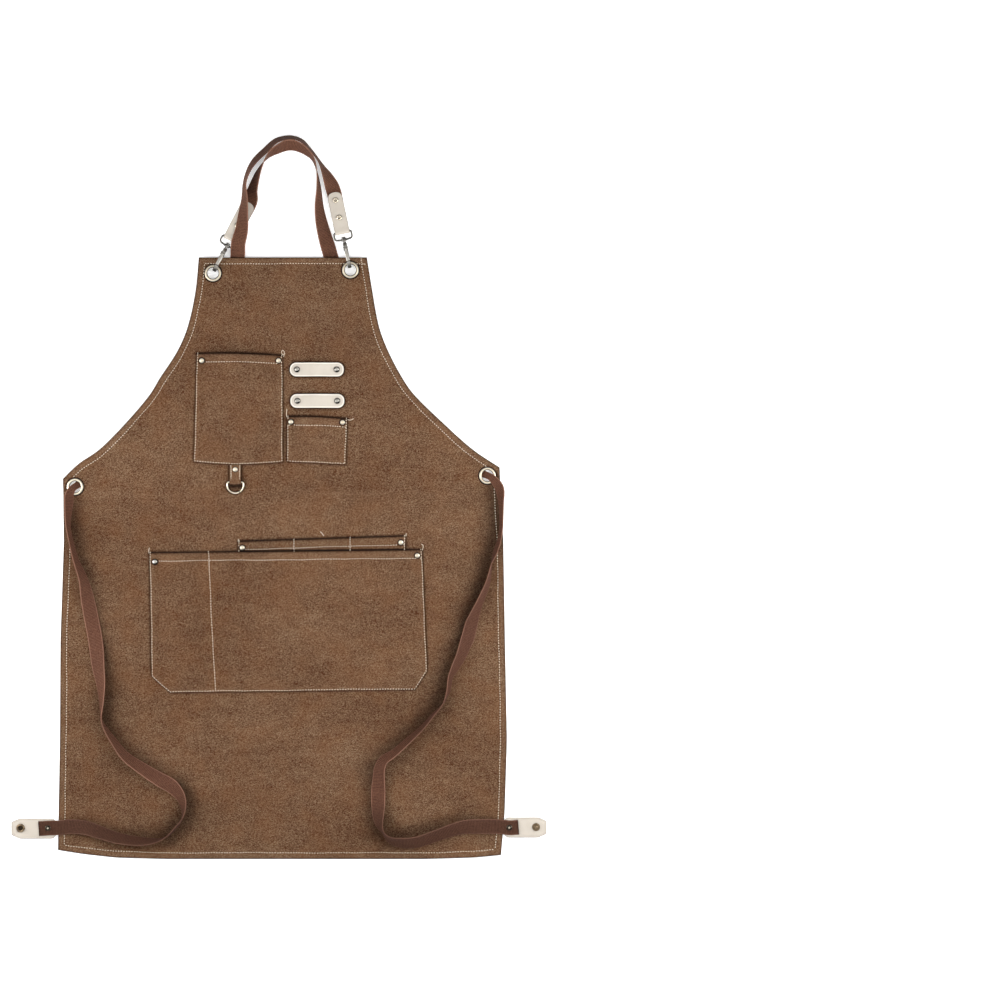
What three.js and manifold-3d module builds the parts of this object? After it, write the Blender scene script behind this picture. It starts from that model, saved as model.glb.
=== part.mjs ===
import * as THREE from "three";
import { mergeVertices } from "three/addons/utils/BufferGeometryUtils.js";
import Module from "manifold-3d";

const wasm = await Module();
wasm.setup();

// Driving sizes in millimetres: the apron lies on its back, neck towards +Y
const gap = 0.3;
const canvas = 1.1;
const hemWidth = 9.6;
const hemDepth = 1.6;
const mouthHem = 13;
const mouthPly = 0.9;
const leather = 2.0;
const webWidth = 20;
const webThick = 1.4;
const strapLift = 3.0;
const hookLift = 1.4;
const eyeletBore = 7.5;
const rivetHole = 2.0;
const turn = Math.PI / 180;

const waxedCanvas = { color: 0x77573f, roughness: 0.9, metalness: 0 };
const webbing = { color: 0x6b4b3e, roughness: 0.85, metalness: 0 };
const paleLeather = { color: 0xe2d7c8, roughness: 0.6, metalness: 0 };
const paleBrass = { color: 0xcdbd98, roughness: 0.3, metalness: 1 };
const darkBrass = { color: 0x8c7a58, roughness: 0.35, metalness: 1 };
const steel = { color: 0xc9c6bd, roughness: 0.3, metalness: 1 };
const labelCloth = { color: 0xf2efe8, roughness: 0.9, metalness: 0 };

const group = new THREE.Group();

// Heights: the bib rides on the straps and hooks behind it
function lift(y) {
  const overStraps = strapLift * THREE.MathUtils.smoothstep(y, -70, 0);
  return overStraps + hookLift * THREE.MathUtils.smoothstep(y, 80, 280);
}

function backHeight(y) {
  return lift(y) + hemDepth;
}

function frontHeight(y) {
  return backHeight(y) + canvas;
}

// Solids
function toSolid(geometry) {
  const plain = geometry.clone();
  plain.deleteAttribute("normal");
  plain.deleteAttribute("uv");
  const welded = mergeVertices(plain, 1e-4);
  const corners = welded.index.array;
  const faces = [];
  for (let i = 0; i < corners.length; i += 3) {
    const [a, b, c] = corners.slice(i, i + 3);
    if (a !== b && b !== c && c !== a) {
      faces.push(a, b, c);
    }
  }
  return new wasm.Manifold(new wasm.Mesh({
    numProp: 3,
    vertProperties: new Float32Array(welded.attributes.position.array),
    triVerts: new Uint32Array(faces),
  }));
}

function fromSolid(solid) {
  const mesh = solid.getMesh();
  const geometry = new THREE.BufferGeometry();
  geometry.setAttribute("position", new THREE.BufferAttribute(new Float32Array(mesh.vertProperties), 3));
  geometry.setIndex(new THREE.BufferAttribute(new Uint32Array(mesh.triVerts), 1));
  geometry.computeVertexNormals();
  return geometry;
}

function addPiece(name, solid, finish, parent = group) {
  const piece = new THREE.Mesh(fromSolid(solid), new THREE.MeshStandardMaterial(finish));
  piece.name = name;
  parent.add(piece);
}

function prism(points, bottom, top) {
  const shape = new THREE.Shape(points);
  const slab = new THREE.ExtrudeGeometry(shape, { depth: top - bottom, bevelEnabled: false });
  slab.translate(0, 0, bottom);
  return toSolid(slab);
}

function peg(x, y, radius, bottom, top, sides = 12) {
  const post = new THREE.CylinderGeometry(radius, radius, top - bottom, sides);
  post.rotateX(Math.PI / 2);
  post.translate(x, y, (bottom + top) / 2);
  return toSolid(post);
}

function turned(profile, sides) {
  const spun = new THREE.LatheGeometry(profile.map(([r, z]) => new THREE.Vector2(r, z)), sides);
  spun.rotateX(Math.PI / 2);
  return toSolid(spun);
}

function plate(shape, width) {
  const slab = new THREE.ExtrudeGeometry(shape, { depth: width, bevelEnabled: false, curveSegments: 4 });
  slab.translate(0, 0, -width / 2);
  const across = new THREE.Vector3(1, 0, 0);
  const along = new THREE.Vector3(0, 1, 0);
  const up = new THREE.Vector3(0, 0, 1);
  slab.applyMatrix4(new THREE.Matrix4().makeBasis(along, up, across));
  return toSolid(slab);
}

function rod(from, to, radius, sides = 8) {
  const start = new THREE.Vector3(...from);
  const end = new THREE.Vector3(...to);
  const way = end.clone().sub(start);
  const bar = new THREE.CylinderGeometry(radius, radius, way.length(), sides);
  const stand = new THREE.Quaternion().setFromUnitVectors(new THREE.Vector3(0, 1, 0), way.normalize());
  bar.applyQuaternion(stand);
  const middle = start.add(end).multiplyScalar(0.5);
  bar.translate(middle.x, middle.y, middle.z);
  return toSolid(bar);
}

function clothBlock(corners, us, vs, lower, upper) {
  const block = new THREE.BoxGeometry(1, 1, 1, us.length - 1, vs.length - 1, 1);
  const spots = block.attributes.position;
  const [topLeft, topRight, bottomLeft, bottomRight] = corners;
  for (let i = 0; i < spots.count; i += 1) {
    const u = us[Math.round((spots.getX(i) + 0.5) * (us.length - 1))];
    const v = vs[Math.round((spots.getY(i) + 0.5) * (vs.length - 1))];
    const [x, y] = [0, 1].map((axis) => THREE.MathUtils.lerp(
      THREE.MathUtils.lerp(bottomLeft[axis], topLeft[axis], v),
      THREE.MathUtils.lerp(bottomRight[axis], topRight[axis], v),
      u,
    ));
    const height = spots.getZ(i) > 0 ? upper(u, v, x, y) : lower(u, v, x, y);
    spots.setXYZ(i, x, y, height);
  }
  return toSolid(block);
}

function insetOutline(points, distance) {
  return points.map((point, i) => {
    const before = points[(i + points.length - 1) % points.length];
    const after = points[(i + 1) % points.length];
    const arriving = point.clone().sub(before).normalize();
    const leaving = after.clone().sub(point).normalize();
    const inward = new THREE.Vector2(-arriving.y - leaving.y, arriving.x + leaving.x).normalize();
    const reach = distance / (inward.x * -arriving.y + inward.y * arriving.x);
    return point.clone().addScaledVector(inward, reach);
  });
}

// Rivets
const rivetCap = 3.9;
const rivetRise = 1.6;

function rivet(back, front) {
  return turned([
    [0, back - 0.8],
    [3.0, back - 0.8],
    [3.4, back],
    [1.6, back],
    [1.6, front],
    [rivetCap, front],
    [3.3, front + 1.0],
    [0, front + rivetRise],
  ], 8);
}

function addRivet(name, x, y, back, front, parent = group) {
  addPiece(name, rivet(back, front).translate([x, y, 0]), darkBrass, parent);
}

// Body outline, front seen from above
const bottomCorners = { left: [-300, -479.2], right: [301.4, -486] };
const bottomBow = [[-266, -484.6], [-221, -489.6], [-153, -491.4], [200, -491.4], [267, -489.4]];
const rightSide = [[306.3, -430], [309.5, -330], [306.8, -195], [304.6, -62], [301, 8], [299.5, 40.2]];
const rightArm = [
  [263.4, 64], [223, 100], [184, 138], [167.7, 161], [149, 196], [135.8, 231], [127, 278], [119.5, 325],
];
const leftArm = [
  [-113.2, 278], [-123.5, 231], [-138.6, 196], [-161.8, 161], [-175.5, 138], [-208, 100], [-243.7, 64],
  [-270.7, 46.2], [-293.2, 24.4],
];
const leftSide = [[-292.6, 8], [-292.1, -62], [-296.6, -195], [-297.3, -330]];
const topLeftCorner = [-108.6, 325];

const outline = new THREE.Shape();
outline.moveTo(...bottomCorners.left);
bottomBow.forEach((spot) => outline.lineTo(...spot));
outline.lineTo(...bottomCorners.right);
rightSide.forEach((spot) => outline.lineTo(...spot));
outline.splineThru(rightArm.map((spot) => new THREE.Vector2(...spot)));
outline.lineTo(...topLeftCorner);
outline.splineThru(leftArm.map((spot) => new THREE.Vector2(...spot)));
leftSide.forEach((spot) => outline.lineTo(...spot));
const outlinePoints = outline.getPoints(2);

const eyelets = {
  eyelet_top_left: [-89.3, 303.5],
  eyelet_top_right: [97.1, 307.9],
  eyelet_waist_left: [-276.4, 13.8],
  eyelet_waist_right: [283, 28.9],
};

// Pockets: corners top left, top right, bottom left, bottom right; panels as shares of the width
const pockets = {
  chest_pocket: {
    corners: [[-111.7, 196.8], [5.6, 192.1], [-116.2, 47.5], [6.2, 47.1]],
    panels: [{ from: 0, to: 1, seam: 0.11, gape: 9 }],
    rivets: [[-104.5, 184.9], [-0.3, 184.9]],
  },
  small_pocket: {
    corners: [[10.6, 108.6], [93.3, 105.5], [10.6, 47.5], [91.5, 43.2]],
    panels: [{ from: 0, to: 1, seam: 0.135, gape: 8.5 }],
    rivets: [[16.3, 101.8], [86.5, 101.1]],
  },
  tucked_pocket: {
    corners: [[-55.7, -60.7], [172.4, -53.2], [-55.7, -195.5], [172.4, -195.5]],
    panels: [
      { from: 0, to: 0.334, seam: 0.15, gape: 2.5 },
      { from: 0.334, to: 0.667, seam: 0.1, gape: 2.5 },
      { from: 0.667, to: 1, seam: 0.15, gape: 2.5 },
    ],
    rivets: [[-49.7, -69], [165.6, -61.8]],
  },
  lower_pocket: {
    corners: [[-176.2, -76], [194.8, -71.9], [-173.2, -266], [203.2, -262]],
    panels: [
      { from: 0, to: 0.222, seam: 0.16, gape: 8.5 },
      { from: 0.222, to: 1, seam: 0.045, gape: 14 },
    ],
    rivets: [[-168.3, -88.2], [188, -79.5]],
    chamfers: [[26.1, 23], [18.6, 26]],
  },
};

function panelRise(panels, u) {
  const panel = panels.find(({ to }) => u <= to);
  const share = (u - panel.from) / (panel.to - panel.from);
  const inside = Math.max(0, (Math.min(share, 1 - share) - panel.seam) / (0.5 - panel.seam));
  return panel.gape * (1 - (1 - inside) ** 3);
}

function panelColumns({ from, to, seam }) {
  const half = [0, seam, THREE.MathUtils.lerp(seam, 0.5, 0.18), THREE.MathUtils.lerp(seam, 0.5, 0.48)];
  const shares = [...half, 0.5, ...half.slice(1).reverse().map((share) => 1 - share)];
  return shares.map((share) => THREE.MathUtils.lerp(from, to, share));
}

function pocketSolid({ corners, panels, chamfers }) {
  const [topLeft, topRight, bottomLeft, bottomRight] = corners;
  const height = topLeft[1] - bottomLeft[1];
  const foot = 9 / height;
  const mouth = 1 - mouthHem / height;
  const us = [...panels.flatMap(panelColumns), 1];
  const vs = [0, foot, foot + 0.07, 0.3, 0.6, mouth - 0.004, mouth, 1];
  const under = (u, v, x, y) => {
    const open = Math.max(0, (v - foot) / (1 - foot)) ** 0.6;
    return frontHeight(y) + gap + panelRise(panels, u) * open;
  };
  const over = (u, v, x, y) => under(u, v, x, y) + canvas + (v >= mouth ? mouthPly : 0);
  const cloth = clothBlock(corners, us, vs, under, over);
  if (!chamfers) {
    return cloth;
  }
  const [leftCut, rightCut] = chamfers;
  const cutOutline = [
    [bottomLeft[0] + leftCut[0], bottomLeft[1] - 5],
    [bottomRight[0] - rightCut[0], bottomRight[1] - 5],
    [bottomRight[0] + 5, bottomRight[1] + rightCut[1]],
    [topRight[0] + 15, topRight[1] + 5],
    [topLeft[0] - 5, topLeft[1] + 5],
    [bottomLeft[0] - 5, bottomLeft[1] + leftCut[1]],
  ];
  return cloth.intersect(prism(cutOutline.map((spot) => new THREE.Vector2(...spot)), -1, 40));
}

// Tool loops, ring tab and ring
const toolLoops = { tool_loop_upper: [51.6, 172.9], tool_loop_lower: [52.3, 130.3] };
const loopLength = 73.3;
const loopWidth = 18.9;
const loopRivet = 27;
const loopFree = 20;
const loopBow = 7;
const ringTab = { x: -59, barY: 20.2, topY: 46.6, width: 16, rivet: [-59, 37.2], ply: 1.1 };
const ringWire = 1.25;

// Body
const bodyCorners = [[-330, 340], [330, 340], [-330, -510], [330, -510]];
const bodyRows = [-510, -70, -60, -50, -40, -30, -20, -10, 0, 80, 120, 160, 200, 240, 280, 340];
const bodyShares = bodyRows.map((y) => (y + 510) / 850);

function bodySolid() {
  const sheet = clothBlock(bodyCorners, [0, 1], bodyShares,
    (u, v, x, y) => backHeight(y),
    (u, v, x, y) => frontHeight(y));
  const hem = clothBlock(bodyCorners, [0, 1], bodyShares,
    (u, v, x, y) => lift(y),
    (u, v, x, y) => backHeight(y) + canvas / 2);
  let band = hem.subtract(prism(insetOutline(outlinePoints, hemWidth), -5, 40));
  Object.values(eyelets).forEach(([x, y]) => {
    band = band.subtract(peg(x, y, 10.5, -5, 40, 20));
  });
  let body = sheet.add(band).intersect(prism(outlinePoints, -5, 40));
  Object.values(eyelets).forEach(([x, y]) => {
    body = body.subtract(peg(x, y, 8.5, -5, 40, 16));
  });
  const rivetSpots = Object.values(pockets).flatMap((pocket) => pocket.rivets);
  Object.values(toolLoops).forEach(([x, y]) => {
    rivetSpots.push([x - loopRivet, y], [x + loopRivet, y]);
  });
  rivetSpots.push(ringTab.rivet);
  rivetSpots.forEach(([x, y]) => {
    body = body.subtract(peg(x, y, rivetHole, -5, 40, 8));
  });
  return body;
}

addPiece("apron_body", bodySolid(), waxedCanvas);

Object.entries(eyelets).forEach(([name, [x, y]]) => {
  const back = backHeight(y) - gap;
  const front = frontHeight(y) + gap;
  const ring = turned([
    [eyeletBore, back - 0.5],
    [10, back - 0.4],
    [10, back],
    [8.1, back],
    [8.1, front],
    [11.5, front],
    [9.6, front + 0.7],
    [eyeletBore, front + 0.2],
    [eyeletBore, back - 0.5],
  ], 14);
  addPiece(name, ring.translate([x, y, 0]), paleBrass);
});

Object.entries(pockets).forEach(([name, pocket]) => {
  let cloth = pocketSolid(pocket);
  pocket.rivets.forEach(([x, y], i) => {
    cloth = cloth.subtract(peg(x, y, rivetHole, -5, 40, 8));
    const seat = frontHeight(y) + gap + canvas + mouthPly + gap;
    addRivet(`${name}_rivet_${i ? "right" : "left"}`, x, y, backHeight(y) - gap, seat);
  });
  addPiece(name, cloth, waxedCanvas);
});

function loopSolid([x, y]) {
  const half = loopLength / 2;
  const [low, high] = [y - loopWidth / 2, y + loopWidth / 2];
  const corners = [[x - half, high], [x + half, high], [x - half, low], [x + half, low]];
  const marks = [-half, -loopFree, -16, -12, -8, -4, 0, 4, 8, 12, 16, loopFree, half];
  const bow = (across) => {
    const share = Math.min(1, Math.abs(across - x) / loopFree);
    return loopBow * (1 - share ** 2) ** 2;
  };
  const under = (u, v, across, along) => frontHeight(along) + gap + bow(across);
  const strip = clothBlock(corners, marks.map((mark) => (mark + half) / loopLength), [0, 1], under,
    (u, v, across, along) => under(u, v, across, along) + leather);
  const ends = new THREE.Shape();
  const round = 8.6;
  ends.moveTo(x - half + round, low);
  ends.lineTo(x + half - round, low);
  ends.absarc(x + half - round, low + round, round, -Math.PI / 2, 0);
  ends.absarc(x + half - round, high - round, round, 0, Math.PI / 2);
  ends.absarc(x - half + round, high - round, round, Math.PI / 2, Math.PI);
  ends.absarc(x - half + round, low + round, round, Math.PI, Math.PI * 1.5);
  return strip.intersect(prism(ends.getPoints(4), -5, 40));
}

Object.entries(toolLoops).forEach(([name, [x, y]]) => {
  let strip = loopSolid([x, y]);
  [-loopRivet, loopRivet].forEach((offset) => {
    strip = strip.subtract(peg(x + offset, y, rivetHole, -5, 40, 8));
    const seat = frontHeight(y) + gap + leather + gap;
    addRivet(`${name}_rivet_${offset > 0 ? "right" : "left"}`, x + offset, y, backHeight(y) - gap, seat);
  });
  addPiece(name, strip, paleLeather);
});

const tabBase = frontHeight(ringTab.barY) + gap;
const barHeight = tabBase + ringTab.ply + gap + ringWire;
const barRoom = ringWire + gap;
const tabFold = new THREE.Shape();
tabFold.moveTo(ringTab.topY, tabBase);
tabFold.lineTo(ringTab.topY, tabBase + 2 * ringTab.ply);
tabFold.lineTo(31, tabBase + 2 * ringTab.ply);
tabFold.absarc(ringTab.barY, barHeight, barRoom + ringTab.ply, Math.PI / 2, Math.PI * 1.5);
const barHole = new THREE.Path();
barHole.absarc(ringTab.barY, barHeight, barRoom + 0.05, 0, Math.PI * 2, true);
tabFold.holes.push(barHole);
const [tabRivetX, tabRivetY] = ringTab.rivet;
const foldedTab = plate(tabFold, ringTab.width).translate([ringTab.x, 0, 0]);
addPiece("ring_tab", foldedTab.subtract(peg(tabRivetX, tabRivetY, rivetHole, -5, 40, 8)), waxedCanvas);
const tabRivetSeat = tabBase + 2 * ringTab.ply + gap;
addRivet("ring_tab_rivet", tabRivetX, tabRivetY, backHeight(tabRivetY) - gap, tabRivetSeat);

// Ring wire: straight bar in the tab, half circle below, butt joint at the lower right
const ringRadius = 11.25;
const ringDrop = 3.7;
const ringTilt = 5.3;
const ringWay = [];
for (let angle = -58; angle <= 0; angle += 14.5) {
  ringWay.push([ringRadius * Math.cos(angle * turn), ringRadius * Math.sin(angle * turn) - ringDrop]);
}
ringWay.push([10.5, -0.75], [8.75, 0], [4, 0], [-4, 0], [-8.75, 0], [-10.5, -0.75]);
for (let angle = 180; angle <= 298; angle += 14.75) {
  ringWay.push([ringRadius * Math.cos(angle * turn), ringRadius * Math.sin(angle * turn) - ringDrop]);
}
const ringCurve = new THREE.CatmullRomCurve3(ringWay.map(([x, y]) => new THREE.Vector3(x, y, 0)));
const wireRound = new THREE.Shape();
wireRound.absarc(0, 0, ringWire, 0, Math.PI * 2);
const ringSweep = { extrudePath: ringCurve, steps: 36, curveSegments: 3 };
const ringWireForm = new THREE.ExtrudeGeometry(wireRound, ringSweep);
ringWireForm.rotateX(ringTilt * turn);
ringWireForm.translate(ringTab.x, ringTab.barY, barHeight);
addPiece("tool_ring", toSolid(ringWireForm), paleBrass);

// Hooks, each in the frame of its eyelet with +Y towards the strap
const loopHeight = 6.0;
const loopBarY = 53;
const tabLength = 54.5;
const tabTilt = 2.6 * turn;
const tabPly = 1.6;
const tabSlot = webThick / 2 + gap;
const tabRivets = [19.5, 43.7];
const hooks = {
  left: { eyelet: eyelets.eyelet_top_left, angle: -27.3 * turn },
  right: { eyelet: eyelets.eyelet_top_right, angle: 12.1 * turn },
};

function hookSolid() {
  const profile = [
    [4.4, 0.3], [33, 0.3], [38, 3.4], [38, 8.6], [33, 12.7], [27.5, 12.7], [27.5, 5.5], [26, 4.0], [8, 4.0],
    [6.4, 5.6], [6.4, 12.6], [7.8, 14.0], [12, 14.0], [12, 17], [5.2, 17], [2.8, 14.6], [2.8, 1.9],
  ];
  const ear = new THREE.Shape([[27.3, 11], [32, 11], [32, 15.4], [30.2, 17.2], [28.8, 17.2], [27.3, 15.7]]
    .map((spot) => new THREE.Vector2(...spot)));
  return plate(new THREE.Shape(profile.map((spot) => new THREE.Vector2(...spot))), 5)
    .add(plate(ear, 1.2).translate([-2.5, 0, 0]))
    .add(plate(ear, 1.2).translate([2.5, 0, 0]))
    .add(rod([-2.6, 29.5, 15.2], [2.6, 29.5, 15.2], 0.8))
    .add(rod([0, 37, loopHeight], [0, 44.8, loopHeight], 1.9, 10))
    .add(rod([0, 44.3, loopHeight], [0, 45.7, loopHeight], 3, 10));
}

function gateSolid() {
  const blade = new THREE.Shape([[12.3, 14], [26.4, 14], [26.4, 17], [12.3, 17]]
    .map((spot) => new THREE.Vector2(...spot)));
  const tongue = new THREE.Shape([[25, 14], [29, 13.6], [31, 14.4], [31, 16.2], [29.8, 17], [25, 17]]
    .map((spot) => new THREE.Vector2(...spot)));
  return plate(blade, 5)
    .add(plate(tongue, 3))
    .subtract(rod([-4, 29.5, 15.2], [4, 29.5, 15.2], 1.1));
}

function swivelSolid() {
  const corners = [[-12, 42.5], [12, 42.5], [12, loopBarY], [-12, loopBarY]]
    .map(([x, y]) => [x, y, loopHeight]);
  let frame = rod([0, 39.8, loopHeight], [0, 44, loopHeight], 3.6, 12);
  corners.forEach((corner, i) => {
    const ball = new THREE.SphereGeometry(ringWire, 8, 4);
    ball.translate(...corner);
    frame = frame.add(rod(corner, corners[(i + 1) % 4], ringWire)).add(toSolid(ball));
  });
  return frame.subtract(rod([0, 39, loopHeight], [0, 45, loopHeight], 2.2, 12));
}

function hookTabSolid() {
  const room = ringWire + gap + 0.05;
  const outer = tabSlot + tabPly;
  const fold = new THREE.Shape();
  fold.moveTo(tabLength, tabSlot);
  fold.lineTo(tabLength, outer);
  fold.lineTo(5, outer);
  fold.absarc(0, 0, room + tabPly, Math.PI / 2, Math.PI * 1.5);
  fold.lineTo(5, -outer);
  fold.lineTo(tabLength, -outer);
  fold.lineTo(tabLength, -tabSlot);
  fold.lineTo(5, -tabSlot);
  fold.absarc(0, 0, room, Math.PI * 1.5, Math.PI / 2, true);
  fold.lineTo(5, tabSlot);
  const top = new THREE.Shape();
  top.moveTo(-10, -10);
  top.lineTo(10, -10);
  top.lineTo(10, tabLength - 8);
  top.absarc(2, tabLength - 8, 8, 0, Math.PI / 2);
  top.absarc(-2, tabLength - 8, 8, Math.PI / 2, Math.PI);
  let tab = plate(fold, webWidth).intersect(prism(top.getPoints(3), -20, 20));
  tabRivets.forEach((along) => {
    tab = tab.subtract(peg(0, along, rivetHole, -20, 20, 8));
  });
  return tab;
}

function tabPoint(side, along) {
  const { eyelet, angle } = hooks[side];
  const reach = loopBarY + along * Math.cos(tabTilt);
  return {
    x: eyelet[0] - reach * Math.sin(angle),
    y: eyelet[1] + reach * Math.cos(angle),
    z: loopHeight - along * Math.sin(tabTilt),
  };
}

Object.entries(hooks).forEach(([side, { eyelet, angle }]) => {
  const hook = new THREE.Group();
  hook.position.set(eyelet[0], eyelet[1], 0);
  hook.rotation.z = angle;
  group.add(hook);
  addPiece(`hook_${side}`, hookSolid(), steel, hook);
  addPiece(`hook_gate_${side}`, gateSolid(), steel, hook);
  addPiece(`swivel_loop_${side}`, swivelSolid(), steel, hook);
  const tab = new THREE.Group();
  tab.position.set(0, loopBarY, loopHeight);
  tab.rotation.x = -tabTilt;
  hook.add(tab);
  addPiece(`hook_tab_${side}`, hookTabSolid(), paleLeather, tab);
  const seat = tabSlot + tabPly + gap;
  tabRivets.forEach((along, i) => {
    addRivet(`hook_tab_${side}_rivet_${i ? "upper" : "lower"}`, 0, along, -seat, seat, tab);
  });
});

// Straps: one webbing each; rows of x, y, rest height (null on the cloth), roll in degrees, width
const snapTabTop = 3.2;

function insideTab(side) {
  return [8, 31, 56.5].map((along) => {
    const { x, y, z } = tabPoint(side, along);
    return [x, y, z - gap - webThick / 2, 0, webWidth];
  });
}

const leftStrapRows = [
  ...insideTab("right"),
  [69.2, 427.6, 0, 30, 20],
  [61.1, 443.9, 0, 68, 20],
  [54.3, 456.8, 0, 86, 20],
  [39.6, 476.8, 0, 90, 20],
  [30.7, 484.6, 0, 88, 20],
  [16.3, 488.7, 0, 84, 20],
  [-3.4, 484.1, 0, 76, 20],
  [-19, 469.7, 0, 71, 20],
  [-32.6, 456.4, 0, 71, 20],
  [-40.7, 443.2, 0, 75, 20],
  [-46.2, 424.9, 1.5, 77, 20],
  [-46.2, 402.8, 7.2, 62, 20],
  [-48.2, 380.2, 8.6, 43, 20],
  [-50.2, 361.1, 9.8, 24, 20],
  [-54.6, 344.8, 9.4, 6, 20],
  [-55.5, 336.6, 8.0, 1, 20],
  [-56, 326.6, 1.8, 0, 20],
  [-58.3, 316, 0, 0, 20],
  [-81.5, 281, 0, 0, 20],
  [-97.7, 240.7, 0, 0, 20],
  [-113.1, 207.4, 0, 0, 20],
  [-125.6, 165.9, 0, 0, 20],
  [-147.8, 141.7, 0, 0, 20],
  [-171.5, 119.5, 0, 0, 20],
  [-190.9, 98, 0, 0, 20],
  [-220.7, 64.8, 0, 0, 20],
  [-254.1, 31.6, 0, 0, 18],
  [-265.5, 22.5, 0.1, 0, 14],
  [-272.9, 16.6, 0.5, 0, 9.4],
  [-279.9, 11, 7.2, 0, 9.4],
  [-283.9, 2.5, 6.8, -32, 13],
  [-284.6, -10.9, null, -57, 19],
  [-285.3, -38, null, -77, 20],
  [-281, -62.4, null, -76, 20],
  [-274.9, -85.5, null, -72, 20],
  [-264.8, -112.7, null, -56, 20],
  [-260, -135.8, null, -30, 20],
  [-252.5, -175.1, null, 0, 20],
  [-248.4, -198.2, null, 4, 20],
  [-244.9, -229.4, null, 26, 20],
  [-241, -255.2, null, 52, 20],
  [-240.3, -279.6, null, 70, 20],
  [-240, -302.2, null, 90, 20],
  [-233.5, -316.3, null, 103, 20],
  [-222.6, -332.6, null, 114, 20],
  [-208.1, -351.6, null, 125, 20],
  [-181.9, -370.6, null, 143, 20],
  [-160.2, -384.2, null, 160, 20],
  [-143.9, -393.7, null, 195, 20],
  [-132.4, -407.3, null, 228, 20],
  [-129, -422.2, null, 248, 20],
  [-131, -435.8, null, 268, 20],
  [-139.1, -448, null, 280, 20],
  [-156.1, -462.9, null, 270, 20],
  [-181.9, -467, null, 238, 20],
  [-217.2, -462.9, null, 224, 20],
  [-243, -454.8, null, 210, 20],
  [-263.4, -448.6, null, 196, 20],
  [-283.7, -447.3, null, 184, 20],
  [-299, -448.8, snapTabTop, 180, 20],
  [-313.6, -449.3, snapTabTop, 180, 20],
  [-326.1, -450, snapTabTop, 180, 20],
];

const rightStrapRows = [
  ...insideTab("left"),
  [-35.6, 416.5, 0, -45, 20],
  [-28.5, 438.5, 0, -66, 20],
  [-22.8, 450.3, 0, -80, 20],
  [-18.3, 457.5, 0, -91, 20],
  [-11.5, 465, 0, -107, 20],
  [-1.4, 471.7, 0, -124, 20],
  [13.6, 477.3, 0, -137, 20],
  [25.8, 475.1, 0, -130, 20],
  [38, 467.7, 0, -115, 20],
  [47, 457.5, 0, -101, 20],
  [52, 440.1, 0, -90, 20],
  [54.4, 416.5, 0, -72, 20],
  [54.7, 395, 0, -56, 20],
  [57.7, 373.3, 0, -38, 20],
  [63.1, 351.6, 0, -18, 20],
  [67.9, 335.3, 0, 0, 20],
  [70.6, 325.8, 0, 0, 20],
  [86.9, 283.9, 0, 0, 20],
  [109.1, 227.4, 0, 0, 20],
  [131.4, 170.9, 0, 0, 20],
  [141.7, 142.5, 0, 0, 20],
  [164.8, 104.9, 0, 0, 20],
  [192.6, 77.4, 0, 0, 20],
  [218.4, 57.2, 0, 0, 20],
  [243.1, 47.4, 0, 0, 19],
  [270.3, 34.8, 0.1, 0, 14],
  [278.9, 30.8, 0.5, 0, 9.4],
  [287.1, 27, 7.2, 0, 9.4],
  [295.5, 18.5, 6.8, 24, 13],
  [300.3, 9, null, 50, 18],
  [301.6, -7, null, 70, 20],
  [302, -25.8, null, 76, 20],
  [301.4, -45, null, 78, 20],
  [298.6, -60, null, 74, 20],
  [293.3, -76, null, 72, 20],
  [288.6, -90, null, 88, 20],
  [283.7, -115.5, null, 110, 20],
  [272.5, -143, null, 118, 20],
  [265.2, -160.6, null, 133, 20],
  [261.6, -171, null, 150, 20],
  [256, -191.8, null, 158, 20],
  [252.2, -202.1, null, 145, 20],
  [246.7, -216.7, null, 134, 20],
  [240.4, -229.1, null, 127, 20],
  [233.2, -243.7, null, 109, 20],
  [229.6, -264.4, null, 104, 20],
  [222.3, -281, null, 90, 20],
  [209.2, -295.4, null, 78, 20],
  [195.8, -311.5, null, 75, 20],
  [176, -330, null, 66, 20],
  [156, -347.6, null, 61, 20],
  [142, -357.5, null, 50, 20],
  [136.8, -369, null, 40, 20],
  [135.5, -386, null, 30, 20],
  [134.8, -401, null, 8, 20],
  [134.8, -419, null, 20, 20],
  [135.2, -433, null, 38, 20],
  [137.2, -445.5, null, 62, 20],
  [142, -455.5, null, 84, 20],
  [150, -464, null, 64, 20],
  [163, -468.5, null, 46, 20],
  [186, -468.2, null, 37, 20],
  [213.7, -459.2, null, 37, 20],
  [241.4, -449.9, null, 25, 20],
  [255.2, -447.5, null, 12, 20],
  [269, -447.1, null, 5, 20],
  [292, -447.1, null, 0, 20],
  [304, -447.8, snapTabTop, 0, 20],
  [312.4, -448.9, snapTabTop, 0, 20],
  [325.3, -448, snapTabTop, 0, 20],
];

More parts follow.
